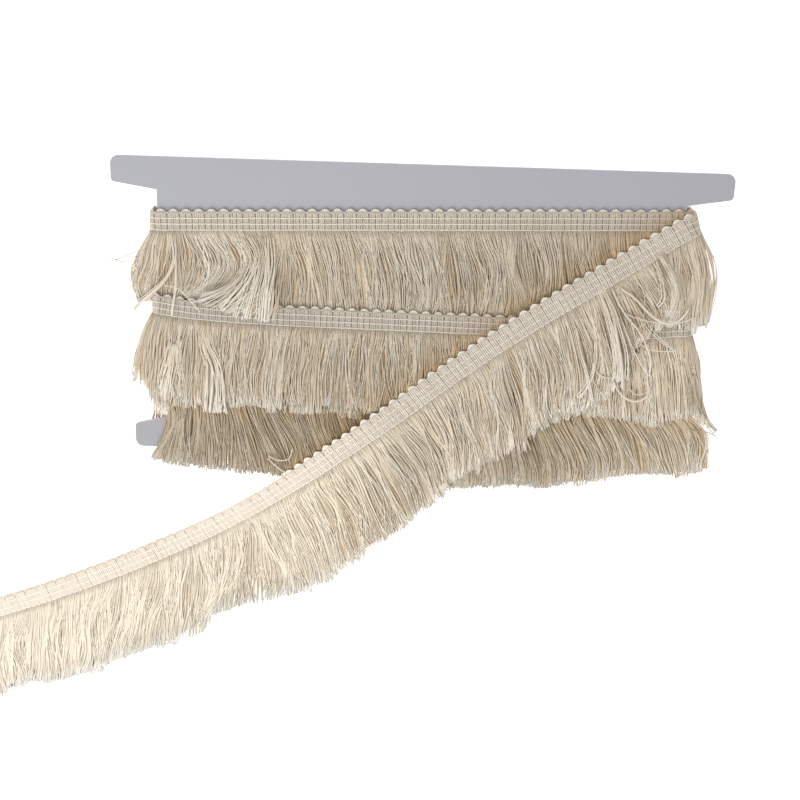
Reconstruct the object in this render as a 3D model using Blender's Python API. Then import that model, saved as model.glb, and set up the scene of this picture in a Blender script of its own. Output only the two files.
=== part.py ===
# A length of cut fringe trim wound three times round a flat card, with a loose
# end that comes over the right-hand neck and trails down onto the table.
#
# Sizes are in millimetres and every object is made in metres. X runs along the
# card, Y runs up to the card's top bar, Z is up, and the table is at Z = 0.
# The origin lies in the middle of the underside of the outermost back turn.
#
# The trim is one woven heading from start to end. Its fringe is modelled as
# locks that are fused into a narrow strip just under the heading's edge, with
# one strip for each run across the card's front or back and one for the tail.

import math
import random
from collections import namedtuple

import bmesh
import bpy
from mathutils import Vector

METRES = 0.001

# Trim
HEADING_WIDTH = 10.5
CLOTH_THICKNESS = 1.6
PICOT_PITCH = 5.5
PICOT_DEPTH = 1.3
STRIP_WIDTH = 1.5
PARTING = 0.4
LOCK_GAP = 1.0
LOCK_TIP_THICKNESS = 1.0
LOCK_TIP_WIDTH = 0.88
LOCK_UNEVENNESS = 1.6

# Heights of the undersides of the layers, from the table up
LAYER_PITCH = 2.0
LAYER_BACK_OUTER = 0.0
LAYER_BACK_MIDDLE = LAYER_BACK_OUTER + LAYER_PITCH
LAYER_BACK_INNER = LAYER_BACK_MIDDLE + LAYER_PITCH
CARD_UNDERSIDE = LAYER_BACK_INNER + LAYER_PITCH
CARD_THICKNESS = 1.8
LAYER_FRONT_LOW = CARD_UNDERSIDE + CARD_THICKNESS + PARTING
LAYER_FRONT_HIGH = LAYER_FRONT_LOW + LAYER_PITCH
LAYER_FRONT_TOP = LAYER_FRONT_HIGH + LAYER_PITCH

# Winding card: straight bars at top and bottom, a narrower neck between them
CARD_TOP_Y = 24.7
CARD_BOTTOM_Y = -110.0
CARD_TOP_HALF = 135.2
CARD_BOTTOM_HALF = 129.0
CARD_NECK_HALF = 115.5
EAR_DEPTH = 11.3
EAR_TAPER = 3.1
EAR_RADIUS = 3.5
CORNER_STEPS = 4

# Turns round the necks
TURN_X = 116.0
TURN_BULGE = 2.8
TAIL_TURN_BULGE = 7.2
TAIL_TURN_DROP = 3.0
TURN_STEPS = 8

BACK = -1
FRONT = 1

# Each run across the card, in winding order. Front runs go from right to left
# and back runs from left to right. left_y and right_y place the middle of the
# heading at the necks, and dip is how far it hangs below a straight line
# between them. The first run starts with a cut end at the right neck.
Run = namedtuple("Run", "name face left_y right_y dip underside picots locks")
RUNS = (
    Run("front_3", FRONT, -74.0, -76.0, 0.0, LAYER_FRONT_LOW, False, 30),
    Run("back_3", BACK, -74.0, -43.5, 0.0, LAYER_BACK_INNER, False, 20),
    Run("front_2", FRONT, -40.0, -43.5, 3.0, LAYER_FRONT_HIGH, True, 33),
    Run("back_2", BACK, -40.0, 4.3, 0.0, LAYER_BACK_MIDDLE, False, 20),
    Run("front_1", FRONT, -2.7, 4.3, 0.0, LAYER_FRONT_LOW, True, 33),
    Run("back_1", BACK, -2.7, 4.3, 0.0, LAYER_BACK_OUTER, False, 20),
)
DIP_POWER = 6
DIPPED_RUN_STEPS = 30
TAIL_LOCKS = 60
TAIL_STEP = 3.0

# Middle line of the tail's heading, seen from above
Place = namedtuple("Place", "x y")
TAIL_LINE = (
    Place(116.0, 1.3),
    Place(91.0, -15.3),
    Place(57.0, -37.4),
    Place(22.0, -63.0),
    Place(-13.0, -91.0),
    Place(-49.0, -119.3),
    Place(-88.0, -148.0),
    Place(-128.0, -170.0),
    Place(-168.0, -188.0),
    Place(-218.0, -207.0),
)

# Height of a layer's underside where it passes each Y: the tail lies over the
# other runs, then comes off the card's bottom edge and down to the table
Rest = namedtuple("Rest", "y z")
TAIL_REST = (
    Rest(-166.0, 0.0),
    Rest(-158.0, 0.5),
    Rest(-149.0, 2.3),
    Rest(-140.0, 4.8),
    Rest(-130.0, 7.8),
    Rest(-121.0, 9.6),
    Rest(-113.0, LAYER_FRONT_HIGH),
    Rest(-96.0, LAYER_FRONT_TOP),
    Rest(-31.0, LAYER_FRONT_TOP),
    Rest(-18.0, LAYER_FRONT_HIGH),
)
FRONT_3_REST = (
    Rest(-140.0, 4.8),
    Rest(-130.0, 6.3),
    Rest(-124.0, 7.4),
    Rest(-118.0, LAYER_FRONT_LOW),
)

REST_SOFTENING = 3.0

# How the fringe falls, by where its root lies along X: the tip's shift
# sideways, the sideways bow half way down, and the tip's reach down in Y
Fall = namedtuple("Fall", "x lean bow reach")
FALL_FRONT_1 = (
    Fall(-119.0, -12.0, -1.0, 33.0),
    Fall(-116.0, -7.0, 0.0, 24.5),
    Fall(-112.0, -4.0, 0.0, 25.0),
    Fall(-104.0, -3.0, 2.0, 31.0),
    Fall(-90.0, -7.0, 5.0, 38.0),
    Fall(-75.0, -11.0, 7.0, 39.0),
    Fall(-64.0, -11.0, 5.0, 39.0),
    Fall(-56.0, -3.0, 3.0, 36.0),
    Fall(-40.0, 5.0, 2.0, 37.0),
    Fall(40.0, 6.0, 2.0, 39.0),
    Fall(95.0, 3.0, 1.0, 40.0),
    Fall(113.0, 0.0, 0.0, 38.0),
    Fall(119.0, 9.0, 1.0, 36.0),
)
FALL_FRONT_2 = (
    Fall(-119.0, -11.0, -2.0, 41.0),
    Fall(-113.0, -6.0, -1.0, 41.0),
    Fall(-95.0, -3.0, 0.0, 39.0),
    Fall(-86.0, -2.5, -0.5, 41.0),
    Fall(-75.0, -2.0, -1.0, 38.0),
    Fall(-50.0, -4.0, -2.0, 40.0),
    Fall(-20.0, -1.0, 0.0, 40.0),
    Fall(10.0, 2.0, 1.0, 40.0),
    Fall(60.0, 4.0, 1.0, 39.0),
    Fall(113.0, 7.0, 1.0, 37.0),
    Fall(119.0, 13.0, 2.0, 35.0),
)
FALL_FRONT_3 = (
    Fall(-119.0, -8.0, 0.0, 20.0),
    Fall(-115.5, -8.0, 0.0, 26.0),
    Fall(-112.5, -7.0, 1.0, 38.0),
    Fall(-100.0, -2.0, 1.0, 39.0),
    Fall(-76.0, 3.0, 1.0, 43.0),
    Fall(-30.0, 7.0, 1.0, 46.0),
    Fall(10.0, 9.0, 1.0, 47.0),
    Fall(60.0, 12.0, 1.0, 44.0),
    Fall(90.0, 14.0, 1.0, 40.0),
    Fall(105.0, 20.0, 2.0, 37.0),
    Fall(117.0, 25.0, 4.0, 32.0),
)
FALL_BACK = (
    Fall(-119.0, -9.0, -1.0, 33.0),
    Fall(-113.0, -2.0, 0.0, 34.0),
    Fall(0.0, 1.0, 1.0, 35.0),
    Fall(113.0, 2.0, 0.0, 34.0),
    Fall(119.0, 9.0, 1.0, 33.0),
)
FALL_TAIL = (
    Fall(-218.0, -6.0, 0.0, 46.0),
    Fall(-168.0, -6.0, 0.0, 47.0),
    Fall(-128.0, -3.0, 0.0, 50.0),
    Fall(-106.0, 1.0, 1.0, 50.0),
    Fall(-86.0, 8.0, 1.0, 47.0),
    Fall(-66.0, 18.0, 1.0, 42.0),
    Fall(-46.0, 26.0, 1.0, 38.0),
    Fall(-28.0, 29.0, 1.0, 36.0),
    Fall(-10.0, 28.0, 2.0, 36.0),
    Fall(8.0, 25.0, 2.0, 39.0),
    Fall(25.0, 19.0, 2.0, 44.0),
    Fall(42.0, 12.0, 2.0, 47.0),
    Fall(60.0, 8.0, 1.0, 47.0),
    Fall(88.0, 4.0, 0.0, 48.0),
    Fall(95.0, 4.0, 0.0, 43.0),
    Fall(101.0, 4.5, 0.0, 33.0),
    Fall(107.0, 5.0, 0.0, 28.0),
    Fall(112.0, 5.5, 0.0, 30.0),
    Fall(118.0, 6.5, 1.0, 38.0),
    Fall(123.0, 9.0, 2.0, 39.0),
)

# A few locks of the first front run lie over the second run's heading
LIFTED_FROM = -88.0
LIFTED_TO = -58.0
LIFTED_START_Y = -23.0
LIFTED_END_Y = -35.0

# Fringe beside the necks has nothing under it and sinks a little, down to the
# level of the lower ears
SAG_FROM = 122.0
SAG_SLOPE = 0.3
SAG_FADE_START_Y = -78.0
SAG_FADE_END_Y = -92.0

# A back run's fringe sinks to the table once it is past the run that it crosses
COVER_MARGIN = 5.0
COVER_RAMP = 20.0

LOCK_RINGS = (0.22, 0.5, 0.78, 1.0)
SETTLE = 0.22
LEAN_CURVE = 1.3
TURN_LOCK_LENGTH = 4.5

CREAM = (0.70, 0.60, 0.45)
PALE_CREAM = (0.74, 0.66, 0.52)
CARD_GREY = (0.46, 0.46, 0.51)

RUN_NAMED = {run.name: run for run in RUNS}
Frame = namedtuple("Frame", "point across out")
Stretch = namedtuple("Stretch", "name start end")


def clear_scene():
    for item in list(bpy.data.objects):
        bpy.data.objects.remove(item, do_unlink=True)


def ease(value):
    value = min(1.0, max(0.0, value))
    return value * value * (3.0 - 2.0 * value)


def read_table(table, key, column, at):
    # Straight-line reading of one column of a table sorted by its key
    first, last = table[0], table[-1]
    if at <= getattr(first, key):
        return getattr(first, column)
    for low, high in zip(table, table[1:]):
        if at <= getattr(high, key):
            share = (at - getattr(low, key)) / (getattr(high, key) - getattr(low, key))
            return getattr(low, column) * (1.0 - share) + getattr(high, column) * share
    return getattr(last, column)


def rest_height(table, y):
    # The bends are eased by averaging over a few millimetres
    shifts = (-REST_SOFTENING, 0.0, REST_SOFTENING)
    readings = [read_table(table, "y", "z", y + shift) for shift in shifts]
    return sum(readings) / len(readings)


def run_y(run, x):
    share = (x + TURN_X) / (2.0 * TURN_X)
    straight = run.left_y * (1.0 - share) + run.right_y * share
    return straight - run.dip * (1.0 - min(1.0, abs(x / TURN_X)) ** DIP_POWER)


def tail_y(x):
    # Smooth curve through the tail's places, with slopes from their neighbours
    places = TAIL_LINE[::-1]
    slopes = []
    for index, place in enumerate(places):
        before = places[max(0, index - 1)]
        after = places[min(len(places) - 1, index + 1)]
        slopes.append((after.y - before.y) / (after.x - before.x))
    index = max(i for i, place in enumerate(places[:-1]) if place.x <= max(x, places[0].x))
    low, high = places[index], places[index + 1]
    span = high.x - low.x
    t = (x - low.x) / span
    return (
        (2 * t**3 - 3 * t**2 + 1) * low.y
        + (t**3 - 2 * t**2 + t) * span * slopes[index]
        + (-2 * t**3 + 3 * t**2) * high.y
        + (t**3 - t**2) * span * slopes[index + 1]
    )


class TrimPath:
    # The heading's middle line, with its width and outward directions

    def __init__(self):
        self.frames = []
        self.distances = []
        self.stretches = []

    def add_stretch(self, name, frames):
        start = self.distances[-1] if self.distances else 0.0
        for frame in frames:
            if self.frames:
                step = (frame.point - self.frames[-1].point).length
                self.distances.append(self.distances[-1] + step)
            else:
                self.distances.append(0.0)
            self.frames.append(frame)
        self.stretches.append(Stretch(name, start, self.distances[-1]))

    def at(self, distance):
        distance = min(max(distance, 0.0), self.distances[-1])
        for index in range(1, len(self.distances)):
            if distance <= self.distances[index]:
                break
        low, high = self.frames[index - 1], self.frames[index]
        span = self.distances[index] - self.distances[index - 1]
        share = (distance - self.distances[index - 1]) / span if span > 1e-9 else 1.0
        return Frame(
            low.point.lerp(high.point, share),
            low.across.lerp(high.across, share).normalized(),
            low.out.lerp(high.out, share).normalized(),
        )


def run_frames(run):
    middle = run.underside + CLOTH_THICKNESS / 2
    count = DIPPED_RUN_STEPS if run.dip > 0.0 else 1
    points = []
    for step in range(count + 1):
        x = TURN_X * (2.0 * step / count - 1.0)
        points.append(Vector((x, run_y(run, x), middle)))
    if run.face == FRONT:
        points.reverse()
    out = Vector((0.0, 0.0, run.face))
    frames = []
    for index, point in enumerate(points):
        along = points[min(count, index + 1)] - points[max(0, index - 1)]
        along = along.normalized() * -run.face
        frames.append(Frame(point, Vector((along.y, -along.x, 0.0)), out))
    return frames


def turn_frames(before, after, side, bulge, drop):
    # Half an ellipse round a neck, from one face of the card to the other
    middle = (before.point + after.point) / 2
    half = (before.point - after.point) / 2
    half.y = 0.0
    frames = []
    for step in range(1, TURN_STEPS):
        share = step / TURN_STEPS
        angle = math.pi * share
        point = middle + half * math.cos(angle)
        point.x += side * bulge * math.sin(angle)
        point.y = before.point.y - drop * share * share
        direction = half * -math.sin(angle) + Vector((side * bulge * math.cos(angle), 0.0, 0.0))
        across = before.across.lerp(after.across, share).normalized()
        out = direction.cross(across).normalized()
        frames.append(Frame(point, across, out))
    return frames


def tail_frame(x):
    slope = (tail_y(x + TAIL_STEP / 2) - tail_y(x - TAIL_STEP / 2)) / TAIL_STEP
    across = Vector((slope, -1.0, 0.0)).normalized()
    middle = Vector((x, tail_y(x), 0.0))
    edges = []
    for side in (-1, 1):
        edge = middle + across * side * HEADING_WIDTH / 2
        edge.z = rest_height(TAIL_REST, edge.y) + CLOTH_THICKNESS / 2
        edges.append(edge)
    across = (edges[1] - edges[0]).normalized()
    along = Vector((-1.0, -slope, 0.0))
    return Frame((edges[0] + edges[1]) / 2, across, along.cross(across).normalized())


def build_path():
    path = TrimPath()
    runs = [run_frames(run) for run in RUNS]
    for index, run in enumerate(RUNS):
        path.add_stretch(run.name, runs[index])
        if index + 1 < len(RUNS):
            side = 1 if run.face == BACK else -1
            turn = turn_frames(runs[index][-1], runs[index + 1][0], side, TURN_BULGE, 0.0)
            path.add_stretch("turn_" + run.name, turn + [runs[index + 1][0]])
    tail_length = TAIL_LINE[0].x - TAIL_LINE[-1].x
    count = round(tail_length / TAIL_STEP)
    tail = [tail_frame(TAIL_LINE[0].x - tail_length * step / count) for step in range(count + 1)]
    turn = turn_frames(runs[-1][-1], tail[0], 1, TAIL_TURN_BULGE, TAIL_TURN_DROP)
    path.add_stretch("turn_back_1", turn + [tail[0]])
    path.add_stretch("tail", tail)
    return path


def place_on(frame, across, out):
    return frame.point + frame.across * across + frame.out * out


def new_object(name, mesh_builder, material):
    recipe = bmesh.new()
    mesh_builder(recipe)
    bmesh.ops.recalc_face_normals(recipe, faces=recipe.faces)
    bmesh.ops.scale(recipe, vec=Vector((METRES, METRES, METRES)), verts=recipe.verts)
    mesh = bpy.data.meshes.new(name)
    recipe.to_mesh(mesh)
    recipe.free()
    item = bpy.data.objects.new(name, mesh)
    mesh.materials.append(material)
    bpy.context.scene.collection.objects.link(item)
    return item


def make_material(name, colour, roughness):
    material = bpy.data.materials.new(name)
    material.use_nodes = True
    shader = material.node_tree.nodes["Principled BSDF"]
    shader.inputs["Base Color"].default_value = (*colour, 1.0)
    shader.inputs["Roughness"].default_value = roughness
    shader.inputs["Metallic"].default_value = 0.0
    return material


def rounded_corner(before, corner, after, radius):
    # Points of the arc that rounds one corner of the card's outline
    to_before = (before - corner).normalized()
    to_after = (after - corner).normalized()
    half_angle = to_before.angle(to_after) / 2
    centre = corner + (to_before + to_after).normalized() * radius / math.sin(half_angle)
    start = corner + to_before * radius / math.tan(half_angle) - centre
    end = corner + to_after * radius / math.tan(half_angle) - centre
    shares = [step / CORNER_STEPS for step in range(CORNER_STEPS + 1)]
    return [centre + start.lerp(end, share).normalized() * radius for share in shares]


def card_outline():
    # Clockwise from the neck's top left; each corner has its own radius
    neck_top = CARD_TOP_Y - EAR_DEPTH - EAR_TAPER
    neck_bottom = CARD_BOTTOM_Y + EAR_DEPTH + EAR_TAPER
    half_outline = (
        (CARD_NECK_HALF, neck_bottom, 0.0),
        (CARD_BOTTOM_HALF, CARD_BOTTOM_Y + EAR_DEPTH, EAR_RADIUS * 0.5),
        (CARD_BOTTOM_HALF, CARD_BOTTOM_Y, EAR_RADIUS),
    )
    top_half = (
        (CARD_TOP_HALF, CARD_TOP_Y, EAR_RADIUS),
        (CARD_TOP_HALF, CARD_TOP_Y - EAR_DEPTH, EAR_RADIUS * 0.5),
        (CARD_NECK_HALF, neck_top, 0.0),
    )
    right = top_half + half_outline
    corners = [(Vector((x, y, 0.0)), radius) for x, y, radius in right]
    corners += [(Vector((-x, y, 0.0)), radius) for x, y, radius in reversed(right)]
    outline = []
    for index, (corner, radius) in enumerate(corners):
        if radius > 0.0:
            before = corners[index - 1][0]
            after = corners[(index + 1) % len(corners)][0]
            outline += rounded_corner(before, corner, after, radius)
        else:
            outline.append(corner)
    return outline


def make_card(material):
    def build(recipe):
        ring = []
        for point in card_outline():
            ring.append(recipe.verts.new((point.x, point.y, CARD_UNDERSIDE)))
        face = recipe.faces.new(ring)
        raised = bmesh.ops.extrude_face_region(recipe, geom=[face])["geom"]
        top = [part for part in raised if isinstance(part, bmesh.types.BMVert)]
        bmesh.ops.translate(recipe, verts=top, vec=Vector((0.0, 0.0, CARD_THICKNESS)))

    return new_object("card", build, material)


def heading_stations(path):
    # Distances along the trim, with how far the upper edge dips at each
    stations = []
    for stretch in path.stretches:
        length = stretch.end - stretch.start
        run = RUN_NAMED.get(stretch.name)
        if stretch.name == "tail" or (run and run.picots):
            count = 2 * round(length / PICOT_PITCH)
        elif run:
            count = 1
        else:
            count = TURN_STEPS
        first = 0 if not stations else 1
        for step in range(first, count + 1):
            dip = PICOT_DEPTH if step % 2 == 0 else 0.0
            stations.append((stretch.start + length * step / count, dip))
    return stations


def make_heading(path, material):
    upper = -HEADING_WIDTH / 2
    lower = HEADING_WIDTH / 2 - STRIP_WIDTH
    half = CLOTH_THICKNESS / 2

    def build(recipe):
        rings = []
        for distance, dip in heading_stations(path):
            frame = path.at(distance)
            corners = ((upper + dip, half), (lower, half), (lower, -half), (upper + dip, -half))
            rings.append([recipe.verts.new(place_on(frame, *corner)) for corner in corners])
        for ring, following in zip(rings, rings[1:]):
            for a in range(4):
                b = (a + 1) % 4
                recipe.faces.new((ring[a], ring[b], following[b], following[a]))
        recipe.faces.new(rings[0])
        recipe.faces.new(rings[-1])

    return new_object("heading", build, material)


def covered(run, x, y):
    # 1 where a back run's fringe lies at this place, easing to 0 past its tips
    tips = run_y(run, x) - HEADING_WIDTH / 2 - read_table(FALL_BACK, "x", "reach", x)
    return min(1.0, max(0.0, 1.0 - (tips - COVER_MARGIN - y) / COVER_RAMP))


def side_sag(x, y):
    fade = ease((y - SAG_FADE_END_Y) / (SAG_FADE_START_Y - SAG_FADE_END_Y))
    return SAG_SLOPE * max(0.0, abs(x) - SAG_FROM) * fade


def rest_back_1(lock_x, x, y):
    return LAYER_BACK_OUTER


def rest_back_2(lock_x, x, y):
    return LAYER_BACK_MIDDLE * covered(RUN_NAMED["back_1"], x, y)


def rest_back_3(lock_x, x, y):
    on_middle = rest_back_2(lock_x, x, y) + LAYER_PITCH
    return on_middle * covered(RUN_NAMED["back_2"], x, y)


def rest_front_1(lock_x, x, y):
    lifted = LIFTED_FROM < lock_x < LIFTED_TO
    lift = ease((LIFTED_START_Y - y) / (LIFTED_START_Y - LIFTED_END_Y)) if lifted else 0.0
    return LAYER_FRONT_LOW + (LAYER_FRONT_TOP - LAYER_FRONT_LOW) * lift - side_sag(x, y)


def rest_front_2(lock_x, x, y):
    return LAYER_FRONT_HIGH - side_sag(x, y)


def rest_front_3(lock_x, x, y):
    return rest_height(FRONT_3_REST, y) - side_sag(x, y)


def rest_tail(lock_x, x, y):
    return rest_height(TAIL_REST, y) - (side_sag(x, y) if x > 0.0 else 0.0)


Fringe = namedtuple("Fringe", "run fall rest")
FRINGES = (
    Fringe("front_1", FALL_FRONT_1, rest_front_1),
    Fringe("front_2", FALL_FRONT_2, rest_front_2),
    Fringe("front_3", FALL_FRONT_3, rest_front_3),
    Fringe("tail", FALL_TAIL, rest_tail),
    Fringe("back_1", FALL_BACK, rest_back_1),
    Fringe("back_2", FALL_BACK, rest_back_2),
    Fringe("back_3", FALL_BACK, rest_back_3),
)


def lock_spans(start, end, locks):
    # Pairs of distances that bound each of a row of locks, with gaps between
    pitch = (end - start) / locks
    spans = []
    for lock in range(locks):
        near = start + lock * pitch
        spans.append((near + LOCK_GAP / 2, near + pitch - LOCK_GAP / 2))
    return spans


def fringe_spans(path, name, locks):
    # A run takes half of the turn at either end, with a lock or two of its own
    index = [stretch.name for stretch in path.stretches].index(name)
    stretch = path.stretches[index]
    start, end = stretch.start, stretch.end
    before, after = [], []
    if index > 0:
        turn = path.stretches[index - 1]
        start = (turn.start + turn.end) / 2 + PARTING
        before = lock_spans(start, turn.end, max(1, round((turn.end - start) / TURN_LOCK_LENGTH)))
    if index + 1 < len(path.stretches):
        turn = path.stretches[index + 1]
        end = (turn.start + turn.end) / 2 - PARTING
        after = lock_spans(turn.start, end, max(1, round((end - turn.start) / TURN_LOCK_LENGTH)))
    return start, end, before + lock_spans(stretch.start, stretch.end, locks) + after


def lock_place(fringe, lock_x, root, share, reach_change):
    # Where a thread from this root lies after a share of its fall
    lean = read_table(fringe.fall, "x", "lean", root.x)
    bow = read_table(fringe.fall, "x", "bow", root.x)
    reach = read_table(fringe.fall, "x", "reach", root.x) + reach_change
    x = root.x + lean * share**LEAN_CURVE + bow * math.sin(math.pi * share)
    y = root.y - reach * share
    return x, y, fringe.rest(lock_x, x, y)


def lock_ring(fringe, ends, face, share, reach_change):
    # Four corners of a lock's section: two threads, each with its thickness
    thickness = CLOTH_THICKNESS + (LOCK_TIP_THICKNESS - CLOTH_THICKNESS) * share
    settled = ease(share / SETTLE)
    lock_x = (ends[0].point.x + ends[1].point.x) / 2
    upper, lower = [], []
    for frame in ends:
        root = place_on(frame, HEADING_WIDTH / 2 + PARTING, 0.0)
        x, y, underside = lock_place(fringe, lock_x, root, share, reach_change)
        middle = Vector((x, y, root.z)).lerp(Vector((x, y, underside + thickness / 2)), settled)
        up = frame.out.lerp(Vector((0.0, 0.0, face)), settled).normalized()
        upper.append(middle + up * thickness / 2)
        lower.append(middle - up * thickness / 2)
    narrowing = 1.0 + (LOCK_TIP_WIDTH - 1.0) * share
    for pair in (upper, lower):
        centre = (pair[0] + pair[1]) / 2
        pair[0] = centre + (pair[0] - centre) * narrowing
        pair[1] = centre + (pair[1] - centre) * narrowing
    return upper[0], upper[1], lower[1], lower[0]


def add_lock(recipe, root_ring, fringe, ends, face, reach_change):
    ring = root_ring
    for share in LOCK_RINGS:
        places = lock_ring(fringe, ends, face, share, reach_change)
        following = [recipe.verts.new(place) for place in places]
        for a in range(4):
            b = (a + 1) % 4
            recipe.faces.new((ring[a], ring[b], following[b], following[a]))
        ring = following
    recipe.faces.new(ring)


def make_fringe(path, fringe, material):
    run = RUN_NAMED.get(fringe.run)
    face = run.face if run else FRONT
    locks = run.locks if run else TAIL_LOCKS
    top = HEADING_WIDTH / 2 - STRIP_WIDTH + PARTING
    bottom = HEADING_WIDTH / 2 + PARTING
    half = CLOTH_THICKNESS / 2
    chance = random.Random(sum(ord(letter) for letter in fringe.run))
    start, end, spans = fringe_spans(path, fringe.run, locks)
    distances = [start] + [edge for span in spans for edge in span] + [end]

    def build(recipe):
        frames = [path.at(distance) for distance in distances]
        rings = []
        for frame in frames:
            corners = ((top, half), (bottom, half), (bottom, -half), (top, -half))
            rings.append([recipe.verts.new(place_on(frame, *corner)) for corner in corners])
        for index, (ring, following) in enumerate(zip(rings, rings[1:])):
            recipe.faces.new((ring[0], ring[1], following[1], following[0]))
            recipe.faces.new((ring[2], ring[3], following[3], following[2]))
            recipe.faces.new((ring[3], ring[0], following[0], following[3]))
            if index % 2 == 0:
                recipe.faces.new((ring[1], ring[2], following[2], following[1]))
            else:
                root_ring = (ring[1], following[1], following[2], ring[2])
                reach_change = chance.uniform(-LOCK_UNEVENNESS, LOCK_UNEVENNESS)
                ends = (frames[index], frames[index + 1])
                add_lock(recipe, root_ring, fringe, ends, face, reach_change)
        recipe.faces.new(rings[0])
        recipe.faces.new(rings[-1])

    return new_object("fringe_" + fringe.run, build, material)


def main():
    clear_scene()
    path = build_path()
    make_card(make_material("card", CARD_GREY, 0.75))
    make_heading(path, make_material("heading", PALE_CREAM, 0.9))
    fringe_material = make_material("fringe", CREAM, 0.9)
    for fringe in FRINGES:
        make_fringe(path, fringe, fringe_material)


main()
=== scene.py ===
import math

import bpy
import numpy as np
from mathutils import Matrix, Vector


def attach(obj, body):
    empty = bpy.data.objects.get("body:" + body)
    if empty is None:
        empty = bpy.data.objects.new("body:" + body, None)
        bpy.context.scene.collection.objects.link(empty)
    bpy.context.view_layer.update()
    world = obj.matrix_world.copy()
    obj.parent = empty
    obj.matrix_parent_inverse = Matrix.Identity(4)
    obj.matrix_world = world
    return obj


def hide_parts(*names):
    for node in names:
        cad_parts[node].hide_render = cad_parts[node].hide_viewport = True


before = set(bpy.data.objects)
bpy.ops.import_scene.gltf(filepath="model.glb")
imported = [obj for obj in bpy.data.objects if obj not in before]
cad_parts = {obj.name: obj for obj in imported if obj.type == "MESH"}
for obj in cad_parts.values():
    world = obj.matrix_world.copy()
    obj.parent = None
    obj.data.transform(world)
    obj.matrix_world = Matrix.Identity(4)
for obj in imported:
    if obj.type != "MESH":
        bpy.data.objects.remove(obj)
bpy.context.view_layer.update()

mm = 0.001  # every table below is in millimetres, in the frame's own axes
body = "root"


def addPiece(name, data, place=(0.0, 0.0, 0.0)):
    piece = bpy.data.objects.new(name, data)
    piece.location = place
    bpy.context.scene.collection.objects.link(piece)
    return piece


# Camera

cameraSetup = {
    "lens": 57.33,  # a 36 mm sensor, so the card's top bar fills four fifths of the width
    "distance": 585.5,
    "tilt": 20.0,  # degrees off straight down, seen from above the card's top bar
    "roll": -1.8,
    "target": (-6.9, -83.4, 8.0),
}


def makeCamera(setup):
    tilt, roll = math.radians(setup["tilt"]), math.radians(-setup["roll"])
    turn = Matrix.Rotation(roll, 3, "Z")
    right = turn @ Vector((1.0, 0.0, 0.0))
    forward = turn @ Vector((0.0, -math.sin(tilt), -math.cos(tilt)))
    up = right.cross(forward)
    height = setup["target"][2]
    place = turn @ Vector((0.0, 0.0, height)) - forward * setup["distance"]
    place += Vector((setup["target"][0], setup["target"][1], 0.0))
    cameraData = bpy.data.cameras.new("camera")
    cameraData.lens = setup["lens"]
    camera = addPiece("camera", cameraData)
    axes = Matrix((right, up, -forward)).transposed().to_4x4()
    camera.matrix_world = Matrix.Translation(place * mm) @ axes
    bpy.context.scene.camera = camera


makeCamera(cameraSetup)
print("camera in place")


# The way of the trim: three times round the card, then the loose tail

trim = {
    "headingWidth": 10.5,
    "thickness": 1.6,
    "picotPitch": 5.5,
    "turnX": 116.0,
    "turnBulge": 2.8,
    "looseTurns": {"front2": 7.0, "tail": 4.9},  # these stand out more, coming round the right neck
    "tailTurnDrop": 3.0,
    "dipPower": 6,  # how late a row that hangs between the necks comes up to them
    "step": 0.5,
}
cardUnderside, cardThickness, layerPitch, parting = 6.0, 1.8, 2.0, 0.4
frontLow = cardUnderside + cardThickness + parting
frontHigh = frontLow + layerPitch
frontTop = frontHigh + layerPitch

# name, side of the card, middle line's y at the left and right neck, how far it
# hangs below a straight line between them, underside
runs = (
    ("front3", 1, -74.0, -76.0, 0.0, frontLow),
    ("back3", -1, -74.0, -43.5, 0.0, 2 * layerPitch),
    ("front2", 1, -40.0, -43.5, 3.0, frontHigh),
    ("back2", -1, -40.0, 4.3, 0.0, layerPitch),
    ("front1", 1, -2.7, 4.3, 0.0, frontLow),
    ("back1", -1, -2.7, 4.3, 0.0, 0.0),
)
tailLine = (
    (116, 1.3), (91, -15.3), (57, -37.4), (22, -63), (-13, -91), (-49, -119.3), (-88, -148),
    (-128, -170), (-168, -188), (-218, -207),
)
# y, and the height there of the tail's underside and of the third row's fringe
tailRest = (
    (-166, 0), (-158, 0.5), (-149, 2.3), (-140, 4.8), (-130, 7.8), (-121, 9.6),
    (-113, frontHigh), (-96, frontTop), (-31, frontTop), (-18, frontHigh),
)
rowThreeRest = ((-140, 4.8), (-130, 6.3), (-124, 7.4), (-118, frontLow))
restSoftening = 3.0


def ease(value):
    value = np.clip(value, 0.0, 1.0)
    return value * value * (3.0 - 2.0 * value)


def unit(vectors):
    return vectors / np.linalg.norm(vectors, axis=-1, keepdims=True)


def readColumn(table, column, at, softening=0.0):
    # A column of a table sorted by its first column, with its bends rounded
    keys = [row[0] for row in table]
    values = [row[column] for row in table]
    at = np.asarray(at, float)
    shifts = (-softening, 0.0, softening)
    return sum(np.interp(at + shift, keys, values) for shift in shifts) / len(shifts)


def restAt(table, y):
    return readColumn(table, 1, y, restSoftening)


def smoothCurve(keys, values, at):
    # A curve through the values, with slopes from their neighbours
    slopes = np.gradient(values, keys, axis=0)
    index = np.clip(np.searchsorted(keys, at) - 1, 0, len(keys) - 2)
    columns = (...,) + (None,) * (values.ndim - 1)
    span = (keys[index + 1] - keys[index])[columns]
    t = (at - keys[index])[columns] / span
    return (
        (2 * t**3 - 3 * t**2 + 1) * values[index]
        + (t**3 - 2 * t**2 + t) * span * slopes[index]
        + (-2 * t**3 + 3 * t**2) * values[index + 1]
        + (t**3 - t**2) * span * slopes[index + 1]
    )


def lengthAlong(points):
    steps = np.linalg.norm(np.diff(points, axis=0), axis=1)
    return np.concatenate(((0.0,), np.cumsum(steps)))


def tailY(x):
    keys, values = np.array(tailLine[::-1]).T
    return smoothCurve(keys, values, np.asarray(x, float))


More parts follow.
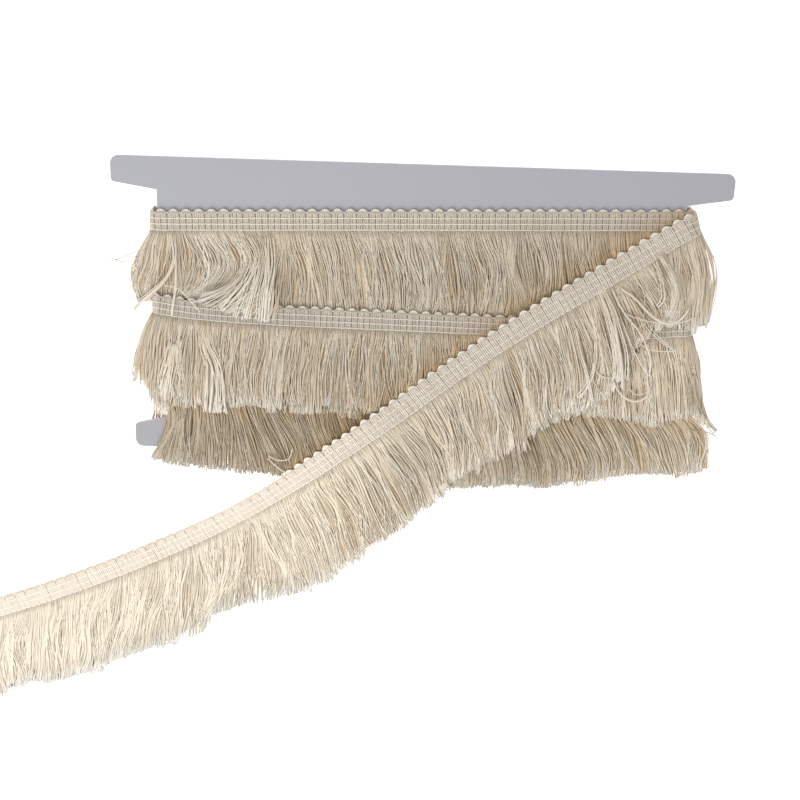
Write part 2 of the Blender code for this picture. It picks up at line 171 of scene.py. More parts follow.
def runY(name, x):
    _, _, leftY, rightY, dip, _ = next(run for run in runs if run[0] == name)
    straight = leftY + (rightY - leftY) * (x / trim["turnX"] + 1.0) / 2
    toNeck = np.minimum(1.0, np.abs(x / trim["turnX"])) ** trim["dipPower"]
    return straight - dip * (1.0 - toNeck)


def acrossRun(slope):
    return unit(np.stack((slope, -np.ones_like(slope), np.zeros_like(slope)), axis=1))


def straightStretch(run):
    name, side, underside = run[0], run[1], run[5]
    x = np.linspace(-trim["turnX"], trim["turnX"], int(2 * trim["turnX"] / trim["step"]))
    if side > 0:
        x = x[::-1]
    middle = np.full(len(x), underside + trim["thickness"] / 2)
    across = acrossRun(runY(name, x + 0.5) - runY(name, x - 0.5))
    out = np.tile((0.0, 0.0, float(side)), (len(x), 1))
    return np.stack((x, runY(name, x), middle), axis=1), across, out


def turnStretch(before, after, side, bulge, drop):
    # Half an ellipse round a neck, from one face of the card to the other
    start, end = before[0][-1], after[0][0]
    middle, half = (start + end) / 2, (start - end) / 2
    half[1] = 0.0
    reach = np.array((side * bulge, 0.0, 0.0))
    length = math.pi * math.sqrt((half[2] ** 2 + bulge**2) / 2)
    count = max(4, int(length / trim["step"]))
    share = (np.arange(1, count) / count)[:, None]
    angle = math.pi * share
    points = middle + half * np.cos(angle) + reach * np.sin(angle)
    points[:, 1] = start[1] - drop * share[:, 0] ** 2
    direction = -half * np.sin(angle) + reach * np.cos(angle)
    across = unit(before[1][-1] * (1.0 - share) + after[1][0] * share)
    return points, across, unit(np.cross(direction, across))


def tailStretch():
    x = np.arange(tailLine[0][0], tailLine[-1][0] - trim["step"], -trim["step"])
    slope = (tailY(x + 1.5) - tailY(x - 1.5)) / 3.0
    flat = acrossRun(slope)
    middle = np.stack((x, tailY(x), np.zeros_like(x)), axis=1)
    edges = []
    for side in (-1.0, 1.0):
        edge = middle + flat * side * trim["headingWidth"] / 2
        edge[:, 2] = restAt(tailRest, edge[:, 1]) + trim["thickness"] / 2
        edges.append(edge)
    across = unit(edges[1] - edges[0])
    along = np.stack((-np.ones_like(x), -slope, np.zeros_like(x)), axis=1)
    return (edges[0] + edges[1]) / 2, across, unit(np.cross(along, across))


def windTrim():
    # Points, widthwise and outward directions, and the distance along the trim
    names = [run[0] for run in runs] + ["tail"]
    straights = [straightStretch(run) for run in runs] + [tailStretch()]
    stretches = {}
    for index, name in enumerate(names[:-1]):
        before, after = straights[index], straights[index + 1]
        side = 1 if runs[index][1] < 0 else -1
        bulge = trim["looseTurns"].get(names[index + 1], trim["turnBulge"])
        drop = trim["tailTurnDrop"] if names[index + 1] == "tail" else 0.0
        stretches[name] = before
        stretches["turn_" + name] = turnStretch(before, after, side, bulge, drop)
    stretches["tail"] = straights[-1]
    points, across, out = (np.concatenate(parts) for parts in zip(*stretches.values()))
    distance, spans, total = lengthAlong(points), {}, 0
    for name, stretch in stretches.items():
        last = total + len(stretch[0]) - 1
        spans[name] = (distance[total], distance[last])
        total = last + 1
    return {"points": points, "across": across, "out": out, "distance": distance, "spans": spans}


way = windTrim()
trimLength = way["distance"][-1]
tailStart = way["spans"]["tail"][0]


def onTrim(distance):
    # Point, widthwise, outward and lengthwise directions at distances along the trim
    def read(values):
        return np.stack(
            [np.interp(distance, way["distance"], values[:, axis]) for axis in range(3)], axis=-1
        )

    point, across, out = read(way["points"]), unit(read(way["across"])), unit(read(way["out"]))
    return point, across, out, unit(np.cross(across, out))


# Nothing holds the tail's weave taut, so it spreads, and its far yarns lie calmer
loosePart = {
    "from": -20.0,
    "to": -70.0,
    "longerWeft": 0.8,
    "calm": 0.8,
    "ripple": 0.8,
    # painted light on the far part of the bed: less of its painted amber shade
    "bedPaintedLight": 0.45,
    "thicker": 0.15,
    # painted shade on the far yarns, against the painted floor light
    "shade": 0.09,
    "tipShade": 0.2,  # painted shadow: the tips curl down into their own shadow on the floor
    "rightStir": (0.25, 30.0, 50.0),  # livelier yarns to the right: how much, from x, over how far
}
tailWeave = {"spread": 0.17, "shift": -0.4, "easesIn": 8.0}


def looseness(x):
    return ease((loosePart["from"] - x) / (loosePart["from"] - loosePart["to"]))


def spreadPlace(offset, distance):
    # Widthwise place of a yarn that lies at this offset where the weave is taut
    share = ease((distance - tailStart) / tailWeave["easesIn"] + 1.0)
    return offset * (1.0 + tailWeave["spread"] * share) + tailWeave["shift"] * share


print("trim wound,", round(trimLength), "mm long")


# Yarn meshes

def addMesh(name, points, faceTables, attributes, uvs=None):
    # Each table holds faces with the same number of corners
    mesh = bpy.data.meshes.new(name)
    mesh.vertices.add(len(points))
    mesh.vertices.foreach_set("co", (points * mm).astype(np.float32).ravel())
    corners = np.concatenate([faces.ravel() for faces in faceTables])
    sizes = np.concatenate([np.full(len(faces), faces.shape[1]) for faces in faceTables])
    mesh.loops.add(len(corners))
    mesh.loops.foreach_set("vertex_index", corners.astype(np.int32))
    mesh.polygons.add(len(sizes))
    mesh.polygons.foreach_set("loop_start", (np.cumsum(sizes) - sizes).astype(np.int32))
    mesh.polygons.foreach_set("use_smooth", np.ones(len(sizes), dtype=bool))
    if uvs is not None:
        layer = mesh.uv_layers.new(name="yarnUv")
        layer.data.foreach_set("uv", uvs.astype(np.float32).ravel())
    for label, values in attributes.items():
        layer = mesh.attributes.new(label, "FLOAT", "POINT")
        layer.data.foreach_set("value", values.astype(np.float32).ravel())
    mesh.update(calc_edges=True)
    mesh.validate()
    return addPiece(name, mesh)


def tubeYarns(name, lines, radii, reference, tone, paintedLight, shade, flatness=1.0, sides=4):
    # lines: strand, ring, xyz. reference: a direction for each strand that is never along it. tone,
    # painted light (less of it is painted amber shade) and painted shade are numbers, or have a value
    # for each strand or for each ring of each strand. Both ends of a strand are closed.
    strands, rings = lines.shape[:2]
    tangent = unit(np.gradient(lines, axis=1))
    leaning = reference[:, None, :]
    sideways = unit(leaning - tangent * np.sum(leaning * tangent, axis=-1, keepdims=True))
    upward = np.cross(tangent, sideways)
    angle = 2 * math.pi * (np.arange(sides) + 0.5) / sides
    circle = (
        sideways[:, :, None, :] * np.cos(angle)[None, None, :, None]
        + upward[:, :, None, :] * np.sin(angle)[None, None, :, None] * flatness
    )
    points = lines[:, :, None, :] + circle * radii[:, :, None, None]
    index = np.arange(strands * rings * sides).reshape(strands, rings, sides)
    after = np.roll(index, -1, axis=2)
    walls = np.stack((index[:, :-1], after[:, :-1], after[:, 1:], index[:, 1:]), axis=-1)
    lengths = np.linalg.norm(np.diff(lines, axis=1), axis=2)
    length = np.concatenate((np.zeros((strands, 1)), np.cumsum(lengths, axis=1)), axis=1)
    around = np.arange(sides + 1) / sides
    corners = np.stack((around[:-1], around[1:], around[1:], around[:-1]), axis=-1)
    u = np.broadcast_to(corners, (strands, rings - 1, sides, 4))
    low, high = length[:, :-1, None], length[:, 1:, None]
    v = np.broadcast_to(np.stack((low, low, high, high), axis=-1), (strands, rings - 1, sides, 4))
    caps = np.concatenate((index[:, 0, ::-1], index[:, -1]))
    uvs = np.concatenate((np.stack((u, v), axis=-1).reshape(-1, 2), np.zeros((caps.size, 2))))

    def everywhere(values):
        values = np.asarray(values, float)
        values = values.reshape(values.shape + (1,) * (3 - values.ndim))
        return np.broadcast_to(values, index.shape)

    share = np.arange(rings)[None, :] / (rings - 1)
    attributes = {"tone": tone, "paintedLight": paintedLight, "shade": shade, "share": share}
    attributes = {label: everywhere(values) for label, values in attributes.items()}
    return addMesh(name, points.reshape(-1, 3), (walls.reshape(-1, 4), caps), attributes, uvs)


def driftNoise(chance, at, step):
    # Smooth noise from -1 to 1 along a line, with a new value every step
    low = math.floor(float(np.min(at)) / step) - 1
    high = math.ceil(float(np.max(at)) / step) + 2
    knots = chance.uniform(-1.0, 1.0, high - low + 1)
    position = np.asarray(at) / step - low
    index = np.floor(position).astype(int)
    share = ease(position - index)
    return knots[index] * (1.0 - share) + knots[index + 1] * share


# Painted shade: colour is darkened, and what is left turns amber, beside the tail's upper edge
# and under the second row's tips. The tail keeps some painted light off all that lies
# above it, and painted light from the pale floor brightens its own far part.
shelter = {
    "tailHalf": 6.4,  # from the tail's middle line to its upper edge, seen from above
    "tailFade": 9.0,
    "tailAmount": 0.76,
    "tipsFade": 7.0,
    "tipsAmount": 0.45,
    "slopeFade": 60.0,
    "slopeAmount": 0.14,
    # painted shade over all of the first row's heading and of the second's
    "rowOneHeading": 0.98,
    "rowTwoHeading": 0.93,
    "rowTwoLeft": 0.07,  # more painted shade at the left, under the first row's locks
    "openBefore": 6.0,  # the last turn lies open this far before the tail starts
}
floorBounce = {"from": 0.0, "to": -52.0, "gain": 0.18}


def floorGain(x):
    # Painted light on the tail's colour, more where the pale floor is near
    start, end = floorBounce["from"], floorBounce["to"]
    return 1.0 + floorBounce["gain"] * ease((start - x) / (start - end))


def aboveTail(x, y):
    return y - (tailY(np.clip(x, tailLine[-1][0], tailLine[0][0])) + shelter["tailHalf"])


def besideTail(x, y):
    return np.exp(-np.abs(aboveTail(x, y)) / shelter["tailFade"])


def slopeShade(x, y):
    # Painted shade on all that lies above the tail, less further from it
    gap = aboveTail(x, y)
    return 1.0 - shelter["slopeAmount"] * np.exp(-np.abs(gap) / shelter["slopeFade"]) * (gap > 0.0)


def onHeadings(points, distance):
    # How much of its painted light each place of the wound headings keeps; the rest is painted amber shade
    wound = distance < tailStart - shelter["openBefore"]
    lost = besideTail(points[..., 0], points[..., 1]) * wound
    return 1.0 - shelter["tailAmount"] * lost


def headingShade(points, distance):
    # Painted shade on the wound headings, painted floor light on the tail's heading
    x, y = points[..., 0], points[..., 1]
    start, end = way["spans"]["front2"]
    onTwo = (distance > start) & (distance < end)
    rowTwo = shelter["rowTwoHeading"] - shelter["rowTwoLeft"] * ease((-30.0 - x) / 25.0)
    wound = slopeShade(x, y) * np.where(onTwo, rowTwo, shelter["rowOneHeading"])
    return np.where(distance > tailStart, floorGain(x), wound)


# Heading: a thin tape, weft yarns in threes, warp lines and the picot edge

heading = {
    "weftYarns": 3,
    "weftYarnPitch": 0.8,  # a little less than their share, so the groups part
    "tailYarnPitch": 0.88,
    "weftRadius": 0.54,
    "tailWeftRadius": 0.58,
    "weftOffsets": (-3.6, -2.6, -0.8, 0.5, 1.8, 3.1, 4.35, 5.3),
    "weftEnd": 5.0,  # past here a weft yarn bends down into the fringe
    "scatter": 0.04,
    "groupLean": 0.18,
    "grooveWidth": 0.5,  # where a warp thread presses the weft down
    "grooveDepth": 0.1,
    "warpLines": (-0.8, 1.8, 4.35),
    "warpRadius": 0.35,
    "tailWarpRadius": 0.33,
    "tailWarpTone": 0.5,
    "picotRadius": 0.3,
    "picotSwell": 0.16,  # how much thicker the yarn is at the top of a picot
    "picotValley": -3.15,
    "picotRise": 1.35,
    "picotRows": (1.0, 0.5, 0.05),
    # painted highlight: the upper rows of loops paler
    "picotLitTones": (1.5, 1.0, 0.4),
    "picotPaintedLight": 1.08,  # painted light, on the card, where the picots stand up into the light
    "edgeDroop": 0.35,
    "tapePitch": 1.1,
    "tapeLevel": -0.15,
    "tapeTones": (-1.2, 1.6),  # on the card, where the dark tape stands for painted shade in the gaps between weft groups, and in the tail
    "weftLevel": 0.2,
    "seed": 11,
}
picots = round(trimLength / trim["picotPitch"])
weftGroups = 2 * picots


def edgeDroop(offset):
    return heading["edgeDroop"] * ease((-1.5 - offset) / 3.0)


def makeTape():
    count = int(trimLength / heading["tapePitch"])
    distance = np.linspace(0.0, trimLength, count)
    point, across, out, _ = onTrim(distance)
    offsets = np.linspace(heading["picotValley"], trim["headingWidth"] / 2, 5)
    rows = []
    for offset in offsets:
        place = spreadPlace(offset, distance)[:, None]
        rows.append(point + across * place + out * (heading["tapeLevel"] - edgeDroop(offset)))
    points = np.stack(rows, axis=1)
    index = np.arange(count * len(offsets)).reshape(count, len(offsets))
    faces = np.stack((index[:-1, :-1], index[:-1, 1:], index[1:, 1:], index[1:, :-1]), axis=-1)
    fill = np.zeros(points.shape[:2])
    # painted amber shade beside the tail
    paintedLight = onHeadings(points, distance[:, None])
    tone = fill + np.where(distance < tailStart, *heading["tapeTones"])[:, None]
    attributes = {"tone": tone, "paintedLight": paintedLight, "shade": fill + 1.0, "share": fill}
    return addMesh("headingTape", points.reshape(-1, 3), (faces.reshape(-1, 4),), attributes)


def makeWeft():
    chance = np.random.default_rng(heading["seed"])
    yarns = heading["weftYarns"]
    starts = (np.arange(weftGroups) + 0.5) * trimLength / weftGroups
    wound = starts < tailStart
    pitch = np.where(wound, heading["weftYarnPitch"], heading["tailYarnPitch"])
    slots = np.arange(yarns) - (yarns - 1) / 2
    roots = (starts[:, None] + pitch[:, None] * slots[None, :]).ravel()
    roots = roots + chance.normal(0.0, heading["scatter"], len(roots))
    # The two groups of a picot lean towards each other at its foot
    towards = np.repeat(np.where(np.arange(weftGroups) % 2 == 0, 1.0, -1.0), yarns)
    wound = np.repeat(wound, yarns)
    offsets = np.array(heading["weftOffsets"])
    lines = np.zeros((len(roots), len(offsets), 3))
    sway = chance.normal(0.0, heading["scatter"], (len(roots), len(offsets)))
    rootX = np.interp(roots, way["distance"], way["points"][:, 0])
    longer = looseness(rootX) * ~wound * loosePart["longerWeft"]
    longer = longer * chance.uniform(0.3, 1.7, len(roots))
    for ring, offset in enumerate(offsets):
        lean = towards * heading["groupLean"] * ease((-0.5 - offset) / 2.5)
        distance = np.clip(roots + sway[:, ring] + lean, 0.0, trimLength)
        point, across, out, _ = onTrim(distance)
        away = (offset - np.array(heading["warpLines"])) / heading["grooveWidth"]
        pressed = heading["grooveDepth"] * sum(math.exp(-(gap**2)) for gap in away)
        isEnd = offset > heading["weftEnd"]
        level = heading["weftLevel"] - pressed - edgeDroop(offset) - 0.3 * isEnd
        place = spreadPlace(offset, roots) + longer * isEnd
        lines[:, ring] = point + across * place[:, None] + out * level
    darker = 0.1 * ease((offsets + 1.6) / 1.2)  # below the first warp line
    radius = np.where(wound, heading["weftRadius"], heading["tailWeftRadius"])
    radii = radius[:, None] * chance.uniform(0.9, 1.06, (len(roots), 1)) * np.ones(lines.shape[:2])
    radii[:, -1] *= 0.5
    along = onTrim(np.clip(roots, 0.0, trimLength))[3]
    tone = chance.normal(0.2, 0.3, len(roots)) + 0.4 * driftNoise(chance, roots, 2.7)
    # painted amber shade beside the tail, and painted light and shade along the headings
    paintedLight = onHeadings(lines, roots[:, None])
    shade = headingShade(lines, roots[:, None]) * (1.02 - darker * wound[:, None])
    return tubeYarns("headingWeft", lines, radii, along, tone, paintedLight, shade)


def lengthwiseYarns(name, distance, offsets, levels, radii, tone, gain=1.0):
    # Yarns along the heading at these widthwise places and heights
    point, across, out, _ = onTrim(distance)
    lines = np.array([
        point + across * spreadPlace(offset, distance)[:, None] + out * level[:, None]
        for offset, level in zip(offsets, levels)
    ])
    reference = np.repeat(across[:1], len(lines), axis=0)
    radii = radii * np.ones(lines.shape[:2])
    # painted light and shade, as on the weft
    shade = headingShade(lines, distance) * gain
    return tubeYarns(name, lines, radii, reference, tone, onHeadings(lines, distance), shade)


def makeWarp():
    # Thin pale threads that dip between the groups of weft yarns
    chance = np.random.default_rng(heading["seed"] + 1)
    distance = np.linspace(0.0, trimLength, weftGroups * 3 + 1)
    wave = np.cos(2 * math.pi * (distance / trimLength * weftGroups - 0.5))
    wound = distance < tailStart
    offsets = [offset + 0.08 * driftNoise(chance, distance, 4.0) for offset in heading["warpLines"]]
    level = heading["weftLevel"] + 0.2 + np.where(wound, 0.15, 0.3) * wave
    radius = np.where(wound, heading["warpRadius"], heading["tailWarpRadius"])
    # painted light and shade: paler where the thread rises over a group, darker where it dips between
    tone = (np.where(wound, 0.9, heading["tailWarpTone"]) + 0.4 * wave)[None, :]
    return lengthwiseYarns("headingWarp", distance, offsets, [level] * len(offsets), radius, tone)


def makePicots():
    # Loops of weft above the tape's upper edge, thick at the top and thin between
    chance = np.random.default_rng(heading["seed"] + 2)
    distance = np.linspace(0.0, trimLength, picots * 10 + 1)
    phase = distance / trimLength * picots
    wave = (0.5 + 0.5 * np.cos(2 * math.pi * (phase - 0.5))) ** 0.85
    uneven = 1.0 + 0.14 * driftNoise(chance, distance, trim["picotPitch"])
    offsets, levels = [], []
    for row, share in enumerate(heading["picotRows"]):
        offset = heading["picotValley"] - heading["picotRise"] * share * wave * uneven
        offsets.append(offset)
        levels.append(0.12 * row - edgeDroop(offset) + 0.05 * np.sin(2 * math.pi * phase + row))
    radius = heading["picotRadius"] + heading["picotSwell"] * wave
    # painted highlight: each picot paler towards its crest and on its upper rows
    tone = np.array(heading["picotLitTones"])[:, None] + 0.5 * (wave - 0.5)
    gain = np.where(distance < tailStart, heading["picotPaintedLight"], 1.0)
    return lengthwiseYarns("headingPicots", distance, offsets, levels, radius, tone, gain)


# Fringe: thousands of loose yarns, combed as in the photograph

# x of the root, sideways shift at one third, two thirds and the tip, and reach
comb = {
    "front1": (
        (-119, -5, -10, -9, 30), (-115, -2.5, -6, -6.5, 30), (-111, -0.5, -1, -2, 30),
        (-104, 2, 2, -3, 30), (-97, 5, 5, -6, 30), (-91, 6, 6.5, -9, 29.5), (-84, 6, 5.5, -12.5, 29.5),
        (-77, 5, 2.5, -12.5, 30.5), (-74, 4, 0.5, -11, 31.5), (-71, 2, -1.5, -7, 36),
        (-64, 0.5, -1.5, -3.5, 38), (-58, 3, 4, 2, 40), (-50, 3.8, 6.6, 5.4, 41), (-30, 4.2, 7, 5.6, 41),
        (40, 3.8, 6.6, 5.2, 42), (95, 2, 3, 3, 41), (113, 0, 0, 0, 40), (119, 3, 6, 9, 37),
    ),
    "front2": (
        (-119, -3.5, -6, -7.5, 30), (-116.5, -3, -5, -6, 36), (-113, -2.5, -4.5, -5.5, 42),
        (-109, -1.5, -2.5, -3, 41), (-95, -1, -2, -3, 39), (-86, -1, -2, -2.5, 41),
        (-75, -1.2, -2, -2, 38), (-50, -2.2, -3.6, -4, 40), (-20, -0.3, -0.7, -1, 40),
        (10, 1.2, 2, 2, 40), (60, 2, 3.2, 4, 39), (108, 2.4, 4.6, 6, 38), (116, 3.8, 6.8, 8.8, 40.5),
        (123.5, 4.5, 8.2, 11, 42),
    ),
    "front3": (
        (-119, 8, 5.5, -0.5, 37.5), (-115.5, 5, 3, -1.2, 38.3), (-112.5, 2.6, 0.8, -1.6, 39),
        (-103, 1, 0, -1.5, 40), (-94, 0.5, 1, 0.5, 41), (-84, 2.5, 7.5, 9.5, 43), (-70, 3.5, 9, 11, 43),
        (-30, 3.5, 8, 9.5, 46), (10, 3.6, 8.5, 10, 47), (60, 4.2, 10.5, 12.5, 43),
        (80, 5.5, 12.5, 15, 38), (90, 7, 14, 17.5, 36), (100, 10, 16.5, 20, 37),
        (108, 13.5, 18.5, 21, 35), (117, 16.5, 20, 20.5, 32),
    ),
    "back": (
        (-119, -3, -6, -9, 33), (-113, -0.5, -1, -2, 34), (0, 1, 1.5, 1, 35), (113, 0.5, 1.2, 2, 34),
        (119, 3, 6, 9, 33),
    ),
    "tail": (
        (-222, -1, -3, -5, 45), (-190, -0.8, -2.5, -4.3, 45), (-183.5, -0.7, -2.4, -4.1, 42.8),
        (-177, -0.7, -2.3, -4, 47), (-164.8, -1, -3, -4.8, 49.5), (-153, -1.5, -4.2, -6.5, 50.9),
        (-143.6, -2, -5.3, -8, 48.7), (-134.2, -2.3, -6, -9, 48.6), (-128.5, -2.4, -6.2, -9.2, 51.4),
        (-122.6, -2.4, -6.2, -9.2, 54.3), (-120.3, -2.3, -6, -9, 49.5), (-114.8, -2, -5.3, -8, 51.3),
        (-105.4, -1.2, -3.6, -5.5, 50.9), (-101, -0.7, -2.7, -3.9, 49.5), (-98, 0, -2, -4.2, 46.5),
        (-93, 1, -1.1, -4.5, 47), (-84, -0.5, -5.5, -9, 51), (-80, 1.5, -2, -4.5, 50),
        (-76, 6.5, 10.5, 11.5, 46), (-68, 5.8, 10.5, 13.5, 48), (-60, 5.8, 12.2, 15.7, 50),
        (-50, 6, 11.3, 15, 50), (-42, 5.8, 11.5, 14.5, 49), (-34, 8.7, 13.6, 17, 46),
        (-28, 9.4, 15, 21.5, 45), (-21, 9.6, 16.3, 21, 43), (-15, 9.3, 15.8, 20.3, 40),
        (-9, 9.5, 15.8, 20.5, 36), (-2, 8.2, 14.2, 18, 37), (5, 6.4, 10.4, 14.7, 41),
        (11, 8, 11.5, 13.6, 42), (20.6, 6.3, 9.3, 12.5, 43), (27, 6.6, 10.3, 14.4, 44.5),
        (34, 7, 11, 13.8, 45), (41, 5.2, 8.8, 13.8, 41), (48, 5.2, 8, 13, 41), (54, 6.4, 9.2, 10.8, 41),
        (60.5, 5, 8.4, 9.8, 43), (67, 7, 11.2, 13, 46), (76, 5.5, 10, 12, 46), (81, 5.2, 9.8, 12, 38),
        (85, 6.2, 11, 13, 33), (90, 6.6, 12, 13, 30.5), (99, 6, 10, 7.5, 28), (104, 6, 8, 3, 27),
        (107, 5, 7.5, 3, 29), (109.5, 2.5, 4, 5, 34), (113, 3, 4.5, 6, 38), (118, 3.8, 6, 6, 41.5),
        (121, 4.2, 6.2, 6.2, 40.5),
    ),
}
fringeLook = {
    "pitch": 0.43,  # between neighbouring yarns of a layer
    "layers": 3,
    "radius": 0.29,
    "rings": 12,
    "loft": 0.9,
    "inset": 0.7,  # from the heading's lower edge up to the roots
    "clump": 4.6,
    "clumpSkew": 0.37,  # from layer to layer
    "clumpWander": 0.35,
    "clumpLean": 1.0,
    "clumpReach": 0.9,
    "clumpTone": 0.3,
    "underReach": 0.0,  # how much longer the lower layers are
    "reachScatter": 0.45,
    "softening": (1.5, 6.0),  # of the comb's table, for the top layer and for those below
    "grip": 0.5,
    "sway": 2.0,
    "belly": 1.6,
    "ripple": 1.1,
    "strayShare": 0.06,
    "strayWander": 3.2,
    "strayTone": 0.7,
    "strayInside": 112.0,  # none past here, to either side
    "bend": 0.32,
    "tipSpread": 0.8,
    "toneScatter": 0.35,
    # how much painted light a row's layers keep: less is more painted amber shade
    "rowPaintedLight": 1.0,
    "rightPaintedLight": 0.0,  # how much less painted amber shade the right end has
    # painted shade over a whole row
    "shade": 1.0,
    "rightGain": (0.0, 0.0, 1.0),  # painted light gained to the right: how much, from x, over how far
    "bedShort": 2.4,  # how far the bed stays behind the tips
}
backLook = {"comb": "back", "layers": 2, "pitch": 0.7, "radius": 0.34, "rings": 8, "loft": 0.5}
fringes = {
    "front1": {"seed": 21, "rowPaintedLight": 0.95, "ripple": 1.5, "bedShort": -2.0, "underReach": 3.0,
               "rightGain": (-0.04, -60.0, 20.0)},
    "front2": {"seed": 22, "rowPaintedLight": 0.9, "rightPaintedLight": 0.1, "shade": 0.95, "clumpReach": 1.7,
               "grip": 0.65, "ripple": 1.4, "rightGain": (0.12, 60.0, 50.0)},
    "front3": {"seed": 23, "rowPaintedLight": 0.75, "rightPaintedLight": 0.25, "shade": 0.77, "ripple": 1.4,
               "clumpReach": 0.6, "bedShort": 0.8, "rightGain": (0.25, 50.0, 70.0)},
    "tail": {"seed": 24, "loft": 1.3, "pitch": 0.49, "clumpReach": 1.5, "belly": 2.0, "ripple": 1.4,
             "bedShort": 1.2, "rightGain": (0.04, 40.0, 40.0)},
    "back1": {**backLook, "seed": 25, "loft": 0.8},
    "back2": {**backLook, "seed": 26},
    "back3": {**backLook, "seed": 27},
}
# Unevenness along the heading: how far each layer's own is moved on, and its step
drifts = {
    "slow": (57.0, 9.0),
    "quick": (91.0, 2.6),
    "belly": (33.0, 5.0),
    "snake": (45.0, 4.0),
    "phase": (71.0, 11.0),
}
# Flattened yarns under the loose ones, so that the card and the back stay hidden, darkened with painted
# amber shade
bedLook = {"pitch": 1.05, "radius": 0.95, "flatness": 0.45, "rings": 8, "tone": -0.5, "paintedLight": 0.35,
           "shade": 0.9, "sink": 0.35, "softening": 7.0}
# The first row's yarns that lie over the second row's heading
lifted = {"from": -86.0, "to": -62.0, "startY": -22.0, "endY": -35.0, "lowest": 0.3, "share": 0.8}
# Yarns past the necks have nothing under them, and hang
sag = {"from": 122.0, "slope": 0.3, "startY": -78.0, "endY": -92.0}
# Where the next turn of the trim lies on the fringe: how close it presses, and how
# soon the fringe rises again above its upper edge
press = {"heading": 0.35, "tail": 0.3, "edgeInset": 0.8, "rise": 0.3}


def sideSag(x, y):
    fade = ease((y - sag["endY"]) / (sag["startY"] - sag["endY"]))
    return sag["slope"] * np.maximum(0.0, np.abs(x) - sag["from"]) * fade


def tipsY(name, x, rows):
    return runY(name, x) - trim["headingWidth"] / 2 - readColumn(comb[rows], 4, x)


def covered(name, x, y):
    # 1 where a back row's fringe lies, easing to 0 past its tips
    return np.clip(1.0 - (tipsY(name, x, "back") - 5.0 - y) / 20.0, 0.0, 1.0)


def restLevel(name, x, y, isLifted):
    # Height of what the fringe lies on
    if name == "front1":
        lift = ease((lifted["startY"] - y) / (lifted["startY"] - lifted["endY"])) * isLifted
        return frontLow + (frontTop - frontLow) * lift - sideSag(x, y)
    if name == "front2":
        return frontHigh - sideSag(x, y)
    if name == "front3":
        return restAt(rowThreeRest, y) - sideSag(x, y)
    if name == "tail":
        return restAt(tailRest, y) - sideSag(x, y) * (x > 0.0)
    if name == "back1":
        return np.zeros_like(x)
    middle = layerPitch * covered("back1", x, y)
    if name == "back2":
        return middle
    return (middle + layerPitch) * covered("back2", x, y)


def ceilingLevel(name, x, y, isLifted):
    high = np.full(x.shape, 99.0)  # open above
    if name == "front1":
        edge = runY("front2", x) + trim["headingWidth"] / 2 - press["edgeInset"]
        pressed = frontHigh - press["heading"] + press["rise"] * np.maximum(0.0, y - edge)
        high = np.where(isLifted > 0.5, high, pressed)
    if name in ("front1", "front2", "front3"):
        under = restAt(tailRest, y) - press["tail"]
        pressed = under + press["rise"] * np.maximum(0.0, aboveTail(x, y))
        high = np.minimum(high, pressed)
    return high


def keptLight(name, x, y):
    # Painted light kept: 1 in the open, less, as painted amber shade, beside the tail or under the second
    # row's tips
    if name == "tail" or name.startswith("back"):
        return np.ones(x.shape)
    kept = 1.0 - shelter["tailAmount"] * besideTail(x, y)
    if name == "front3":
        lost = np.exp(-np.maximum(0.0, tipsY("front2", x, "front2") - y) / shelter["tipsFade"])
        kept = kept * (1.0 - shelter["tipsAmount"] * lost)
    return kept


def ownShade(name, look, x, y):
    # Painted light and shade of a row: more or less to the right, painted floor light on the tail, painted
    # shade above the tail
    gain, start, over = look["rightGain"]
    shade = look["shade"] + gain * ease((x - start) / over)
    if name.startswith("back"):
        return shade
    if name == "tail":
        return (shade - loosePart["shade"] * looseness(x)) * floorGain(x)
    clear = ease((x - 60.0) / 30.0) * (y < -45.0)  # past the tail's fringe
    return shade * (clear + (1.0 - clear) * slopeShade(x, y))


def fringeSpan(name):
    # The run and half of the turn at either end
    names = list(way["spans"])
    place = names.index(name)
    start, end = way["spans"][name]
    if place > 0:
        turn = way["spans"][names[place - 1]]
        start = (turn[0] + turn[1]) / 2
    if place + 1 < len(names):
        turn = way["spans"][names[place + 1]]
        end = (turn[0] + turn[1]) / 2
    return start, end


def combed(look, root, t, softening, reachChange=0.0):
    # Sideways shift and reach of yarns with these roots, by the comb's table
    table = comb[look["comb"]]
    early, late, tip, reach = (readColumn(table, column, root[:, 0], softening) for column in range(1, 5))
    controls = np.stack((np.zeros(len(root)), early, late, tip), axis=1)
    basis = np.stack(
        (
            (1 - 3 * t) * (1 - 1.5 * t) * (1 - t),
            9 * t * (1 - 1.5 * t) * (1 - t),
            -4.5 * t * (1 - 3 * t) * (1 - t),
            t * (1 - 3 * t) * (1 - 1.5 * t),
        ),
        axis=-1,
    )
    return np.einsum("nc,tc->nt", controls, basis), reach + reachChange


def fringeRoot(distance, lift):
    # Where yarns leave the heading, just inside its lower edge, and their reference
    point, across, out, along = onTrim(distance)
    place = spreadPlace(trim["headingWidth"] / 2 - fringeLook["inset"], distance)
    return point + across * place[:, None] + out * lift, along


def settle(root, x, y, level, t):
    # Yarns start at the heading's height and soon lie at their own
    settled = ease(t / 0.2)
    return np.stack((x, y, root[:, 2:] * (1.0 - settled) + level * settled), axis=-1)


def clumpYarns(chance, look, distance, layers):
    # The clump of each yarn, and how far the yarn is from the middle of it
    wander = look["clumpWander"] * driftNoise(chance, distance, look["clump"] * 1.7)
    clumpAt = distance / look["clump"] + wander + layers * look["clumpSkew"]
    clump = np.floor(clumpAt).astype(int)
    return clump - clump.min(), clumpAt % 1.0 - 0.5


